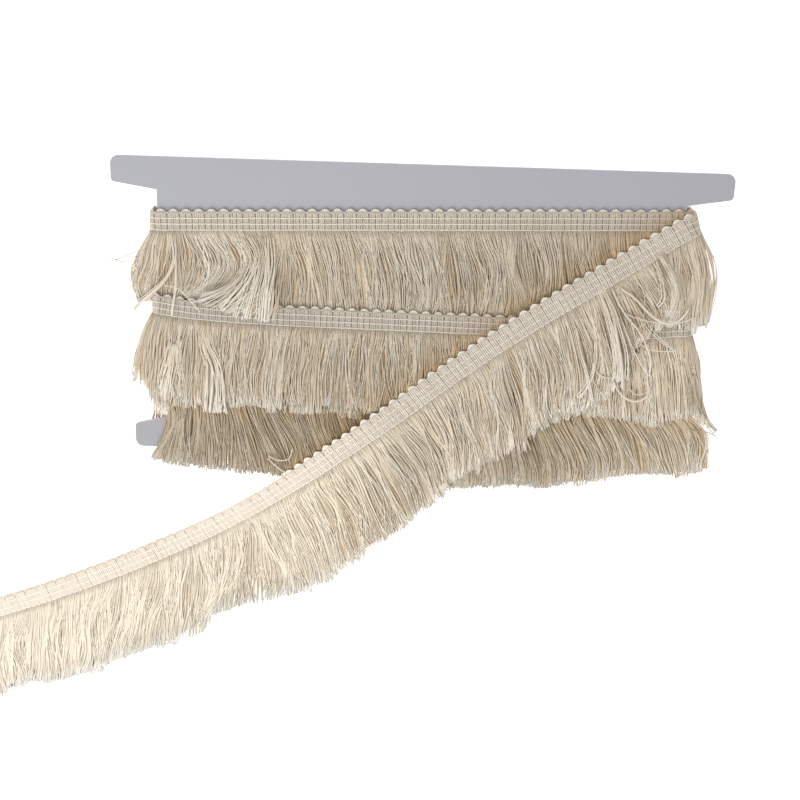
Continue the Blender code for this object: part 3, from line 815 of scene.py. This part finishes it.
def swayYarns(chance, look, shift, distance, layers, t, loose, lean, within, grips):
    # Unevenness along the heading, clumps that hold together half way down and
    # part again at the cut, and each yarn's own bend
    slow, quick, belly, snake, phase = (
        driftNoise(chance, distance + layers * apart, step) for apart, step in drifts.values()
    )
    slow, quick, belly = slow * look["sway"], quick * look["sway"] * 0.4, belly * look["belly"]
    snake, phase = snake * look["ripple"] * (1.0 + loosePart["ripple"] * loose), phase * 2.5
    ripple = np.sin(2.4 * math.pi * t[None, :] + phase[:, None]) - np.sin(phase)[:, None]
    hold = within * look["clump"] * grips
    own = chance.normal(0.0, look["bend"], (len(distance), 3))
    return (
        shift
        + (slow + quick + lean)[:, None] * t**1.6
        + belly[:, None] * np.sin(math.pi * t)
        + snake[:, None] * ripple * ease(t / 0.3)
        - hold[:, None] * np.sin(0.75 * math.pi * t) ** 1.5
        + (within * look["tipSpread"])[:, None] * t**4
        + own[:, :1] * t
        + own[:, 1:2] * np.sin(math.pi * t)
        + own[:, 2:] * np.sin(2 * math.pi * t)
    )


def fringeLevel(name, look, x, y, height, puff, isLifted):
    # How high yarns lie: on what is under them, and below what presses on them
    rest = restLevel(name, x, y, isLifted)
    if name.startswith("back"):
        return rest + look["radius"] + (0.9 - 0.7 * height) * np.ones_like(y)
    rise = height * (0.9 + look["loft"] * puff)
    level = rest + 0.25 + look["radius"] + rise
    level = np.minimum(level, ceilingLevel(name, x, y, isLifted) - (1.0 - height) * 0.5)
    return np.maximum(level, look["radius"] + 0.05)


def makeFringe(name, look):
    chance = np.random.default_rng(look["seed"])
    start, end = fringeSpan(name)
    perLayer = int((end - start) / look["pitch"])
    layers = np.repeat(np.arange(look["layers"]), perLayer)
    slots = np.tile((np.arange(perLayer) + 0.5) / perLayer, look["layers"])
    distance = start + (end - start) * slots + chance.normal(0.0, look["pitch"] * 0.3, len(slots))
    distance = np.clip(distance, start, end)
    count = len(distance)
    height = (layers + 0.5) / look["layers"]
    root, along = fringeRoot(distance, ((height - 0.35) * 0.9)[:, None])
    t = np.linspace(0.0, 1.0, look["rings"])

    clump, within = clumpYarns(chance, look, distance, layers)
    clumps = clump.max() + 1
    grips = chance.uniform(-0.2, 1.0, clumps)[clump] * look["grip"]
    clumpRise = chance.uniform(0.0, 1.0, clumps)[clump]
    lean = chance.normal(0.0, look["clumpLean"], clumps)[clump]
    reachChange = chance.normal(0.0, look["clumpReach"], clumps)[clump]
    reachChange = reachChange + chance.normal(0.0, look["reachScatter"], count)
    # Only the top layer parts as sharply as the comb's table says
    under = layers < look["layers"] - 1
    top, below = look["softening"]
    reachChange = reachChange + under * look["underReach"]
    shift, reach = combed(look, root, t, np.where(under, below, top), reachChange)
    loose = looseness(root[:, 0]) * (name == "tail")
    shift = swayYarns(chance, look, shift, distance, layers, t, loose, lean, within, grips)

    # A few yarns wander over the others
    clumpTone = chance.normal(0.0, look["clumpTone"], clumps)[clump]
    stray = chance.random(count) < look["strayShare"]
    stray = stray & (np.abs(root[:, 0]) < look["strayInside"])
    wander = chance.normal(0.0, look["strayWander"], (count, 2)) * stray[:, None]
    shift = shift + wander[:, :1] * t**1.5 + wander[:, 1:] * np.sin(math.pi * t) * 0.6
    height = np.where(stray, 1.15, height)

    # Where the yarns lie
    x = root[:, :1] + shift
    y = root[:, 1:2] - reach[:, None] * t
    rootX = root[:, 0]
    isLifted = (rootX > lifted["from"]) & (rootX < lifted["to"]) & (height > lifted["lowest"])
    isLifted = (isLifted & (chance.random(count) < lifted["share"]))[:, None] * np.ones_like(y)
    calm = 1.0 - loosePart["calm"] * loose[:, None]
    stir, stirFrom, stirOver = loosePart["rightStir"]
    calm = calm - stir * ease((root[:, :1] - stirFrom) / stirOver) * (name == "tail")
    puff = calm * np.sin(math.pi * t**0.8) * (0.55 + 0.45 * clumpRise[:, None])
    level = fringeLevel(name, look, x, y, height[:, None], puff, isLifted)
    lines = settle(root, x, y, level, t)
    radii = look["radius"] * chance.uniform(0.82, 1.15, (count, 1)) * (1.0 - 0.12 * t)
    radii = radii * (1.0 + loosePart["thicker"] * loose[:, None])

    # Their tone, painted amber shade down among the others, more on the lower layers, and the painted light
    # and shade that they keep
    tone = chance.normal(0.0, look["toneScatter"], count) + clumpTone + stray * look["strayTone"]
    tone = tone[:, None] * calm
    rowPaintedLight = look["rowPaintedLight"] + look["rightPaintedLight"] * ease((root[:, :1] - 50.0) / 60.0)
    paintedLight = 1.0 - calm * (1.0 - (0.3 + 0.75 * np.minimum(0.93, height))[:, None] * rowPaintedLight)
    paintedLight = paintedLight * keptLight(name, x, y)
    curled = loose[:, None] * ease((t - 0.7) / 0.25)
    shade = ownShade(name, look, x, y) * (1.0 - loosePart["tipShade"] * curled)
    return tubeYarns("fringe_" + name + "_yarns", lines, radii, along, tone, paintedLight, shade, sides=3)


def makeBed(name, look):
    start, end = fringeSpan(name)
    distance = np.linspace(start, end, int((end - start) / bedLook["pitch"]))
    root, along = fringeRoot(distance, -bedLook["sink"])
    t = np.linspace(0.0, 1.0, bedLook["rings"])
    shift, reach = combed(look, root, t, bedLook["softening"], -look["bedShort"])
    x = root[:, :1] + shift
    y = root[:, 1:2] - reach[:, None] * t
    level = restLevel(name, x, y, np.zeros_like(x)) + 0.4
    lines = settle(root, x, y, level, t)
    radii = np.full(x.shape, bedLook["radius"])
    loose = looseness(root[:, :1]) * (name == "tail")
    # painted amber shade, less on the tail's far part
    paintedLight = (bedLook["paintedLight"] + loosePart["bedPaintedLight"] * loose) * keptLight(name, x, y)
    shade = bedLook["shade"] * ownShade(name, look, x, y)
    return tubeYarns("bed_" + name, lines, radii, along, bedLook["tone"], paintedLight, shade, bedLook["flatness"])


# Single yarns and small locks that catch the eye: how many yarns, how wide they
# spread at the root, the middle and the tip, and the places that they pass
locks = (
    (2, 0.5, 0.6, 1.4, ((-107.5, -7.3, 9.8), (-107.3, -18.9, 12.2), (-107.4, -31.2, 13.2),
        (-109.6, -46, 13))),
    (6, 2.4, 1.2, 3.6, ((-109, -7.8, 9.8), (-107.7, -18.5, 12), (-110.9, -26.6, 12.4),
        (-118.4, -34.8, 11.6), (-127.4, -43.8, 9))),
    (1, 0, 0, 0, ((-112.4, -31.2, 12.6), (-107, -32.1, 13), (-102.2, -36.5, 13.2),
        (-97.1, -42.8, 13.2))),
    (6, 6, 3, 3.4, ((-76.1, -8.5, 9.8), (-71.7, -15.9, 12.4), (-75.2, -25.7, 13.4), (-80.9, -33.5, 13.8),
        (-87.7, -41.6, 13.2))),
    (6, 5, 2.8, 3.4, ((-72.3, -8.4, 9.8), (-70.4, -19.4, 12.2), (-73, -32.7, 13.8),
        (-76.2, -45.8, 13.2))),
    (4, 5, 3.4, 5, ((-78.8, -8.6, 9.8), (-73.5, -19.5, 12.2), (-76.1, -31.9, 13.6), (-81.1, -45.1, 13))),
    (12, 7, 5, 5.6, ((-67.8, -8.2, 9.8), (-66.4, -20.7, 12.4), (-68.1, -34, 13.8),
        (-69.6, -46.6, 13.2))),
    (1, 0, 0, 0, ((-117.9, -10, 9), (-124.3, -16.5, 9), (-130.4, -19.6, 8), (-137.1, -22.5, 8))),
    (1, 0, 0, 0, ((-118, -10.9, 9), (-125.3, -19.2, 9), (-130.9, -22.3, 8), (-136.1, -20.7, 8))),
    (20, 4.6, 6, 10, ((-96.1, -49, 10.8), (-94, -59, 12.2), (-91, -66.9, 12.6), (-90.4, -79.3, 12.8),
        (-91, -90.7, 12.4))),
    (20, 4, 6, 5.4, ((-109.5, -58, 12.2), (-111.8, -70, 12.2), (-114.4, -82, 11), (-116.6, -93.5, 8.9))),
    (5, 1.2, 1.2, 2.4, ((125.5, -66, 11.4), (128.5, -78, 11), (133.1, -86.1, 10), (140.1, -95.1, 8))),
    (1, 0, 0, 0, ((127.4, -93.2, 11), (133.5, -93.5, 10), (140, -96.2, 9))),
    (2, 1.2, 1, 0.6, ((88.7, -25.7, 13), (94.8, -29.3, 15.4), (100.9, -35.4, 15.8), (107.6, -40.3, 15.8),
        (112.1, -41.3, 15.8), (117.2, -38.2, 15.4), (119.9, -33.2, 14.8))),
    (1, 0, 0, 0, ((90.9, -26.1, 13), (97.9, -32, 15.4), (103.2, -37.2, 15.8), (108.9, -40.2, 15.8),
        (114.2, -40.1, 15.8), (117.9, -36.4, 15))),
    (1, 0, 0, 0, ((84.8, -27.2, 13), (91.3, -36.8, 15.4), (96.8, -38.9, 15.4), (104.1, -40.5, 15.6),
        (114.8, -40.6, 15.6), (123.8, -37.7, 14.5))),
    (1, 0, 0, 0, ((100.3, -39.4, 13.8), (103.3, -43.3, 14), (108.8, -48.7, 14), (115.7, -54.2, 13.6))),
    (1, 0, 0, 0, ((99.1, -39.9, 13.8), (102.5, -44.2, 14), (107.9, -49.2, 14), (115.7, -54.2, 13.6))),
    (1, 0, 0, 0, ((100.2, -51.5, 13.4), (103.9, -53.5, 14), (109.3, -54.3, 14), (115.7, -54.2, 13.6))),
    (2, 1, 1, 0.6, ((84.7, -25.8, 13), (91.3, -36.8, 15.6), (99.2, -45.5, 15), (103.2, -52.5, 14.4),
        (105.6, -60.1, 14), (105.3, -67, 13.4))),
    (2, 1.4, 1.2, 0.6, ((82.2, -27.3, 13), (89.8, -40, 15.6), (95.9, -51.7, 15), (101.4, -61, 14.4),
        (105.7, -67.4, 13.4))),
    (18, 4.4, 5.6, 6, ((79.2, -25.6, 12), (84.6, -36.3, 16), (88.1, -46.9, 16), (91, -57.7, 15.6),
        (92.6, -69.5, 14))),
    (5, 1, 1, 1.4, ((86, -45, 15.6), (90, -55, 16), (92.4, -64, 15.4), (93.3, -73, 14))),
    (1, 0, 0, 0, ((77.4, -54.7, 14.6), (79.4, -62.2, 14.6), (83.1, -66.4, 14.6), (86.6, -67.5, 14.6),
        (90.1, -66.6, 15))),
    (6, 1.6, 1, 2.4, ((79.7, -49.9, 14.4), (80.1, -60.3, 14.8), (78.2, -69.9, 14.6),
        (73.9, -77.9, 13.6))),
    (6, 1.6, 1.2, 2, ((70.1, -44.9, 14.2), (72.8, -54.7, 15), (76.8, -65, 15), (79.4, -73.7, 14.6),
        (81.4, -80.1, 13.6))),
    (1, 0, 0, 0, ((75.6, -60.4, 14.6), (78.9, -67, 14.6), (82.5, -72.9, 14.4), (86.6, -77.3, 13.6))),
    (2, 0.8, 1.2, 0.8, ((89.2, -69.9, 13.4), (94.2, -76.6, 13.4), (99.9, -78.9, 13.4),
        (104.1, -77.3, 13.4), (107, -72.3, 13.2))),
    (1, 0, 0, 0, ((96.4, -72.7, 13.2), (100.3, -75.5, 13.4), (104.7, -74.3, 13.4), (107, -69.5, 13.2))),
    (4, 2.6, 1.4, 1.6, ((104.4, -11, 13), (110.5, -20.3, 15.4), (112.8, -25.2, 15.6), (112.5, -33.6, 15),
        (110, -38.9, 14))),
    (3, 2, 1.2, 1.2, ((103.1, -13.3, 13), (107.1, -25.4, 15.4), (107.3, -30.6, 15.4),
        (105.4, -33.5, 14.6))),
    (2, 0.8, 0.6, 0.8, ((12.4, -94.3, 13.4), (14, -108.6, 11.6), (13.8, -118, 10), (11, -125.6, 8))),
    (1, 0, 0, 0, ((9.8, -110.2, 11.6), (13.1, -119.1, 10), (18.3, -128.4, 7))),
    (1, 0, 0, 0, ((-67.2, -111.5, 11.6), (-63, -113.5, 11.8), (-57.8, -112.8, 11.8),
        (-55.9, -107.3, 12))),
    (1, 0, 0, 0, ((-67.6, -112.7, 11.6), (-63.5, -117, 11), (-58.9, -120.8, 10))),
)
# outerShade: painted shade on the yarns that hang past the card's edges
lockLook = {"rings": 18, "radius": 0.29, "tone": 1.1, "outerShade": 0.3, "outerFrom": 122.0, "seed": 41}


def smoothWay(places, share):
    places = np.array(places, float)
    keys = lengthAlong(places)
    return smoothCurve(keys, places, share * keys[-1])


def makeLocks():
    chance = np.random.default_rng(lockLook["seed"])
    share = np.linspace(0.0, 1.0, lockLook["rings"])
    lines = []
    for yarns, rootWidth, middleWidth, tipWidth, places in locks:
        middle = smoothWay(places, share)
        tangent = unit(np.gradient(middle, axis=0))
        aside = unit(np.cross(tangent, (0.0, 0.0, 1.0)))
        width = np.interp(share, (0.0, 0.5, 1.0), (rootWidth, middleWidth, tipWidth))
        for yarn in range(yarns):
            place = np.clip((yarn + chance.uniform(-0.6, 1.6)) / yarns * 2 - 1.0, -1.0, 1.0)
            lift = math.sqrt(1.0 - place * place) * min(0.9, 0.12 * yarns) * chance.uniform(0.4, 1.0)
            own = chance.normal(0.0, 0.12 + 0.09 * middleWidth, 3) * (yarns > 1)
            offset = place * width / 2 + own[0] * np.sin(math.pi * share) + own[1] * share
            offset = offset + own[2] * np.sin(2 * math.pi * share)
            line = middle + aside * offset[:, None]
            line[:, 2] += lift * ease(share / 0.3)
            cut = 1.0 - abs(chance.normal(0.0, 0.02)) * (yarns > 1)
            columns = [np.interp(share * cut, share, line[:, axis]) for axis in range(3)]
            lines.append(np.stack(columns, axis=1))
    lines = np.array(lines)
    radii = np.full(lines.shape[:2], lockLook["radius"])
    reference = np.tile((0.0, 0.0, 1.0), (len(lines), 1))
    tone = chance.normal(-0.1, 0.45, (len(lines), 1)) + lockLook["tone"] * ease((share - 0.2) / 0.65)
    # painted amber shade near the root, among the other yarns; painted shade past the card's edges
    paintedLight = 0.85 + 0.15 * ease(share / 0.4)[None, :]
    shade = 1.0 - lockLook["outerShade"] * ease((np.abs(lines[:, :, 0]) - lockLook["outerFrom"]) / 5.0)
    return tubeYarns("fringe_locks", lines, radii, reference, tone, paintedLight, shade)


# Materials

def feed(tree, node, inputs):
    # Each socket gets a value, or a link from the output that feeds it
    for label, value in inputs.items():
        if isinstance(value, bpy.types.NodeSocket):
            tree.links.new(value, node.inputs[label])
        else:
            node.inputs[label].default_value = value


def addNode(tree, kind, inputs=None, **settings):
    node = tree.nodes.new(kind)
    node.location = (200 * len(tree.nodes) - 1800, -300)  # in a row, below the nodes that are there
    for label, value in settings.items():
        setattr(node, label, value)
    feed(tree, node, inputs or {})
    return node


def addMath(tree, operation, *values, **settings):
    inputs = dict(enumerate(values))
    return addNode(tree, "ShaderNodeMath", inputs, operation=operation, **settings).outputs[0]


def addRange(tree, value, low, high, **settings):
    inputs = {"Value": value, "From Min": low, "From Max": high}
    return addNode(tree, "ShaderNodeMapRange", inputs, **settings).outputs[0]


def addMix(tree, factor, first, second):
    inputs = {"Factor": factor, "A": first, "B": second}
    return addNode(tree, "ShaderNodeMix", inputs, data_type="RGBA").outputs["Result"]


def addBump(tree, height, strength, distance):
    inputs = {"Height": height, "Strength": strength, "Distance": distance}
    return addNode(tree, "ShaderNodeBump", inputs).outputs["Normal"]


def startGroup(name, inputs, output, kind):
    group = bpy.data.node_groups.new(name, "ShaderNodeTree")
    for label, inputKind in inputs.items():
        group.interface.new_socket(label, in_out="INPUT", socket_type="NodeSocket" + inputKind)
    group.interface.new_socket(output, in_out="OUTPUT", socket_type="NodeSocket" + kind)
    return group, addNode(group, "NodeGroupInput").outputs


def startMaterial(name, values):
    # These values are the same all over, so they stand on the shader's own sockets
    material = bpy.data.materials.new(name)
    material.use_nodes = True
    shader = material.node_tree.nodes["Principled BSDF"]
    feed(material.node_tree, shader, values)
    return material, material.node_tree, shader


def yarnTwistGroup():
    # Plies laid round the yarn, from its own lengthwise and round-about coordinates
    inputs = {"Plies": "Float", "Turn Length": "Float"}
    group, given = startGroup("yarnTwist", inputs, "Height", "Float")
    uv = addNode(group, "ShaderNodeUVMap", uv_map="yarnUv")
    split = addNode(group, "ShaderNodeSeparateXYZ", {0: uv.outputs["UV"]})
    turns = addMath(group, "DIVIDE", split.outputs["Y"], given["Turn Length"])
    laid = addMath(group, "ADD", split.outputs["X"], turns)
    plies = addMath(group, "MULTIPLY", laid, given["Plies"])
    fold = addMath(group, "PINGPONG", plies, 0.5)
    addNode(group, "NodeGroupOutput", {"Height": fold})
    return group


# Colours of each cotton: the first is painted amber shade, for yarns down among the others
yarnColours = ("Painted Shade Colour", "Mid Colour", "Pale Colour")
toneSpan = (-1.2, 1.6)  # tones of the darkest and the palest yarns
tipSpan = (0.82, 1.0)  # share of a yarn over which its cut end turns pale


def cottonToneAndShadeGroup():
    # Colour of one yarn: its own tone, paler at the cut, with painted amber shade down among the others,
    # scaled by its painted shade
    inputs = {**dict.fromkeys(yarnColours, "Color"), "Tip Paleness": "Float"}
    group, given = startGroup("cottonToneAndShade", inputs, "Colour", "Color")

    def read(label):
        return addNode(group, "ShaderNodeAttribute", attribute_name=label).outputs["Fac"]

    paintedLight = read("paintedLight")
    tone = addRange(group, read("tone"), *toneSpan)
    tip = addRange(group, read("share"), *tipSpan, interpolation_type="SMOOTHSTEP")
    tip = addMath(group, "MULTIPLY", tip, given["Tip Paleness"])
    pale = addMath(group, "ADD", tone, tip, use_clamp=True)
    pale = addMath(group, "MULTIPLY", pale, paintedLight)
    deep = addMix(group, paintedLight, given["Painted Shade Colour"], given["Mid Colour"])
    colour = addMix(group, pale, deep, given["Pale Colour"])
    inputs = {0: colour, "Scale": read("shade")}
    shaded = addNode(group, "ShaderNodeVectorMath", inputs, operation="SCALE")
    addNode(group, "NodeGroupOutput", {"Colour": shaded.outputs[0]})
    return group


yarnTwist = yarnTwistGroup()
cottonToneAndShade = cottonToneAndShadeGroup()


def cottonMaterial(name, look):
    surface = {"Roughness": look["roughness"], "Sheen Weight": look["sheen"], "Sheen Roughness": 0.5,
               "Specular IOR Level": 0.25}
    material, tree, shader = startMaterial(name, surface)
    inputs = {label: (*look[label], 1.0) for label in yarnColours}
    inputs["Tip Paleness"] = look["tipPaleness"]
    colour = addNode(tree, "ShaderNodeGroup", inputs, node_tree=cottonToneAndShade)
    inputs = {"Plies": look["plies"], "Turn Length": look["turnLength"]}
    twist = addNode(tree, "ShaderNodeGroup", inputs, node_tree=yarnTwist)
    normal = addBump(tree, twist.outputs["Height"], look["bump"], 0.0002)
    feed(tree, shader, {"Base Color": colour.outputs["Colour"], "Normal": normal})
    return material


fringeCotton = {
    "Painted Shade Colour": (0.70, 0.465, 0.19),
    "Mid Colour": (0.74, 0.635, 0.48),
    "Pale Colour": (0.88, 0.82, 0.715),
    "tipPaleness": 0.75,
    "roughness": 0.85,
    "sheen": 0.2,
    "plies": 3.0,
    "turnLength": 2.2,
    "bump": 0.4,
}
weftCotton = {**fringeCotton, "Painted Shade Colour": (0.60, 0.40, 0.20), "Mid Colour": (0.64, 0.55, 0.45),
              "Pale Colour": (0.74, 0.67, 0.57), "tipPaleness": 0.0}
threadCotton = {**fringeCotton, "Painted Shade Colour": (0.60, 0.40, 0.20), "Mid Colour": (0.76, 0.68, 0.57),
                "Pale Colour": (0.88, 0.83, 0.75), "tipPaleness": 0.0, "plies": 2.0, "turnLength": 1.1}
# The tape shows only in the gaps between weft groups; its darker colours are painted shade there
tapeCotton = {**fringeCotton, "Painted Shade Colour": (0.48, 0.31, 0.15), "Mid Colour": (0.50, 0.41, 0.31),
              "Pale Colour": (0.66, 0.58, 0.48), "tipPaleness": 0.0, "bump": 0.0}
boardLook = {
    "face": (0.452, 0.449, 0.49),
    "faceDark": (0.43, 0.427, 0.465),
    "edge": (0.62, 0.62, 0.66),
    "shadedFoot": (0.375, 0.37, 0.385),  # painted shade on the lower part of the board
    "shadedFootSpan": (-0.055, -0.075),
    "flatness": (0.3, 0.7),  # where a surface turns from cut edge to face
    "fibreScale": 1400.0,
    "cloudScale": 18.0,
    "roughness": 0.7,
    "bump": 0.15,
}


def boardMaterial(look):
    # Pressed board: fibre flecks on the faces, paler where it was cut, painted shade towards its lower end
    surface = {"Roughness": look["roughness"], "Specular IOR Level": 0.35}
    material, tree, shader = startMaterial("pressedBoard", surface)
    face, faceDark, edge, shadedFoot = ((*look[label], 1.0) for label in ("face", "faceDark", "edge", "shadedFoot"))
    place = addNode(tree, "ShaderNodeTexCoord").outputs["Object"]
    inputs = {"Vector": place, "Scale": look["fibreScale"], "Detail": 4.0}
    fibre = addNode(tree, "ShaderNodeTexNoise", inputs).outputs["Fac"]
    inputs = {"Vector": place, "Scale": look["cloudScale"]}
    cloud = addNode(tree, "ShaderNodeTexNoise", inputs).outputs["Fac"]
    along = addNode(tree, "ShaderNodeSeparateXYZ", {0: place}).outputs["Y"]
    low = addRange(tree, along, *look["shadedFootSpan"])
    facing = addNode(tree, "ShaderNodeNewGeometry").outputs["Normal"]
    upright = addNode(tree, "ShaderNodeSeparateXYZ", {0: facing}).outputs["Z"]
    upright = addMath(tree, "ABSOLUTE", upright)
    flat = addRange(tree, upright, *look["flatness"])
    colour = addMix(tree, cloud, faceDark, face)
    # painted shade towards the board's lower end
    colour = addMix(tree, low, colour, shadedFoot)
    colour = addMix(tree, flat, edge, colour)
    normal = addBump(tree, fibre, look["bump"], 0.0001)
    feed(tree, shader, {"Base Color": colour, "Normal": normal})
    return material


# Putting the pieces together

def finishPiece(piece, material, nodes=()):
    piece.data.materials.append(material)
    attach(piece, body)
    if nodes:
        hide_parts(*nodes)
    return piece


fringeMaterial = cottonMaterial("fringeCotton", fringeCotton)
weftMaterial = cottonMaterial("weftCotton", weftCotton)
threadMaterial = cottonMaterial("threadCotton", threadCotton)
tapeMaterial = cottonMaterial("tapeCotton", tapeCotton)

tape = finishPiece(makeTape(), tapeMaterial, ["heading"])
headingParts = [
    finishPiece(makeWeft(), weftMaterial),
    finishPiece(makeWarp(), threadMaterial),
    finishPiece(makePicots(), threadMaterial),
]
print("heading woven")

cadNode = {
    "front1": "fringe_front_1",
    "front2": "fringe_front_2",
    "front3": "fringe_front_3",
    "back1": "fringe_back_1",
    "back2": "fringe_back_2",
    "back3": "fringe_back_3",
    "tail": "fringe_tail",
}
fringeParts = []
for name, look in fringes.items():
    look = {**fringeLook, "comb": name, **look}
    piece = makeFringe(name, look)
    fringeParts.append(finishPiece(piece, fringeMaterial, [cadNode[name]]))
    if not name.startswith("back"):
        fringeParts.append(finishPiece(makeBed(name, look), fringeMaterial))
fringeParts.append(finishPiece(makeLocks(), fringeMaterial))
meshes = [piece.data for piece in [tape] + headingParts + fringeParts]
triangles = [len(mesh.loops) - 2 * len(mesh.polygons) for mesh in meshes]
print("fringe hung,", sum(triangles), "triangles of cotton in all, at most", max(triangles), "a piece")

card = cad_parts["card"]
card.data.materials.clear()
card.data.materials.append(boardMaterial(boardLook))


# Floor and light

studio = {
    "floorSize": 12.0,
    "floorColour": (0.93, 0.93, 0.93),
    "floorGlow": 0.75,
    "skyColour": (1.0, 0.94, 0.86),
    "skyStrength": 0.45,
    "backdrop": (1.0, 1.0, 1.0),  # what is seen past the floor's edge
    "lightColour": (0.95, 0.995, 1.055),  # cooler than the sky, so that shadows stay warm
    "lightTarget": (0.0, -0.08, 0.0),
    "softboxes": {  # place, size and power
        "keyLight": ((-0.24, -0.38, 0.40), 0.6, 2.94),
        "topLight": ((0.12, 0.50, 0.70), 0.8, 2.2),
    },
}


def makeFloor(look):
    half = look["floorSize"] / 2
    mesh = bpy.data.meshes.new("floor")
    corners = [(-half, -half, 0.0), (half, -half, 0.0), (half, half, 0.0), (-half, half, 0.0)]
    mesh.from_pydata(corners, [], [(0, 1, 2, 3)])
    surface = {"Base Color": (*look["floorColour"], 1.0), "Roughness": 0.9,
               "Emission Color": (1.0, 1.0, 1.0, 1.0), "Emission Strength": look["floorGlow"]}
    mesh.materials.append(startMaterial("paleFloor", surface)[0])
    floor = addPiece("floor", mesh, (0.0, 0.0, -0.0002))


def addSoftbox(name, place, size, power):
    lightData = bpy.data.lights.new(name, "AREA")
    lightData.shape = "SQUARE"
    lightData.size = size
    lightData.energy = power
    lightData.color = studio["lightColour"]
    light = addPiece(name, lightData, place)
    towards = Vector(studio["lightTarget"]) - Vector(place)
    light.rotation_euler = towards.to_track_quat("-Z", "Y").to_euler()


def makeStudio(look):
    makeFloor(look)
    for name, softbox in look["softboxes"].items():
        addSoftbox(name, *softbox)
    world = bpy.data.worlds.new("studio")
    world.use_nodes = True
    tree = world.node_tree
    sky = tree.nodes["Background"]
    feed(tree, sky, {"Color": (*look["skyColour"], 1.0), "Strength": look["skyStrength"]})
    backdrop = addNode(tree, "ShaderNodeBackground", {"Color": (*look["backdrop"], 1.0)})
    seen = addNode(tree, "ShaderNodeLightPath").outputs["Is Camera Ray"]
    inputs = {0: seen, 1: sky.outputs[0], 2: backdrop.outputs[0]}
    either = addNode(tree, "ShaderNodeMixShader", inputs)
    feed(tree, tree.nodes["World Output"], {"Surface": either.outputs[0]})
    bpy.context.scene.world = world
    bpy.context.scene.view_settings.view_transform = "Standard"


makeStudio(studio)
print("studio lit")
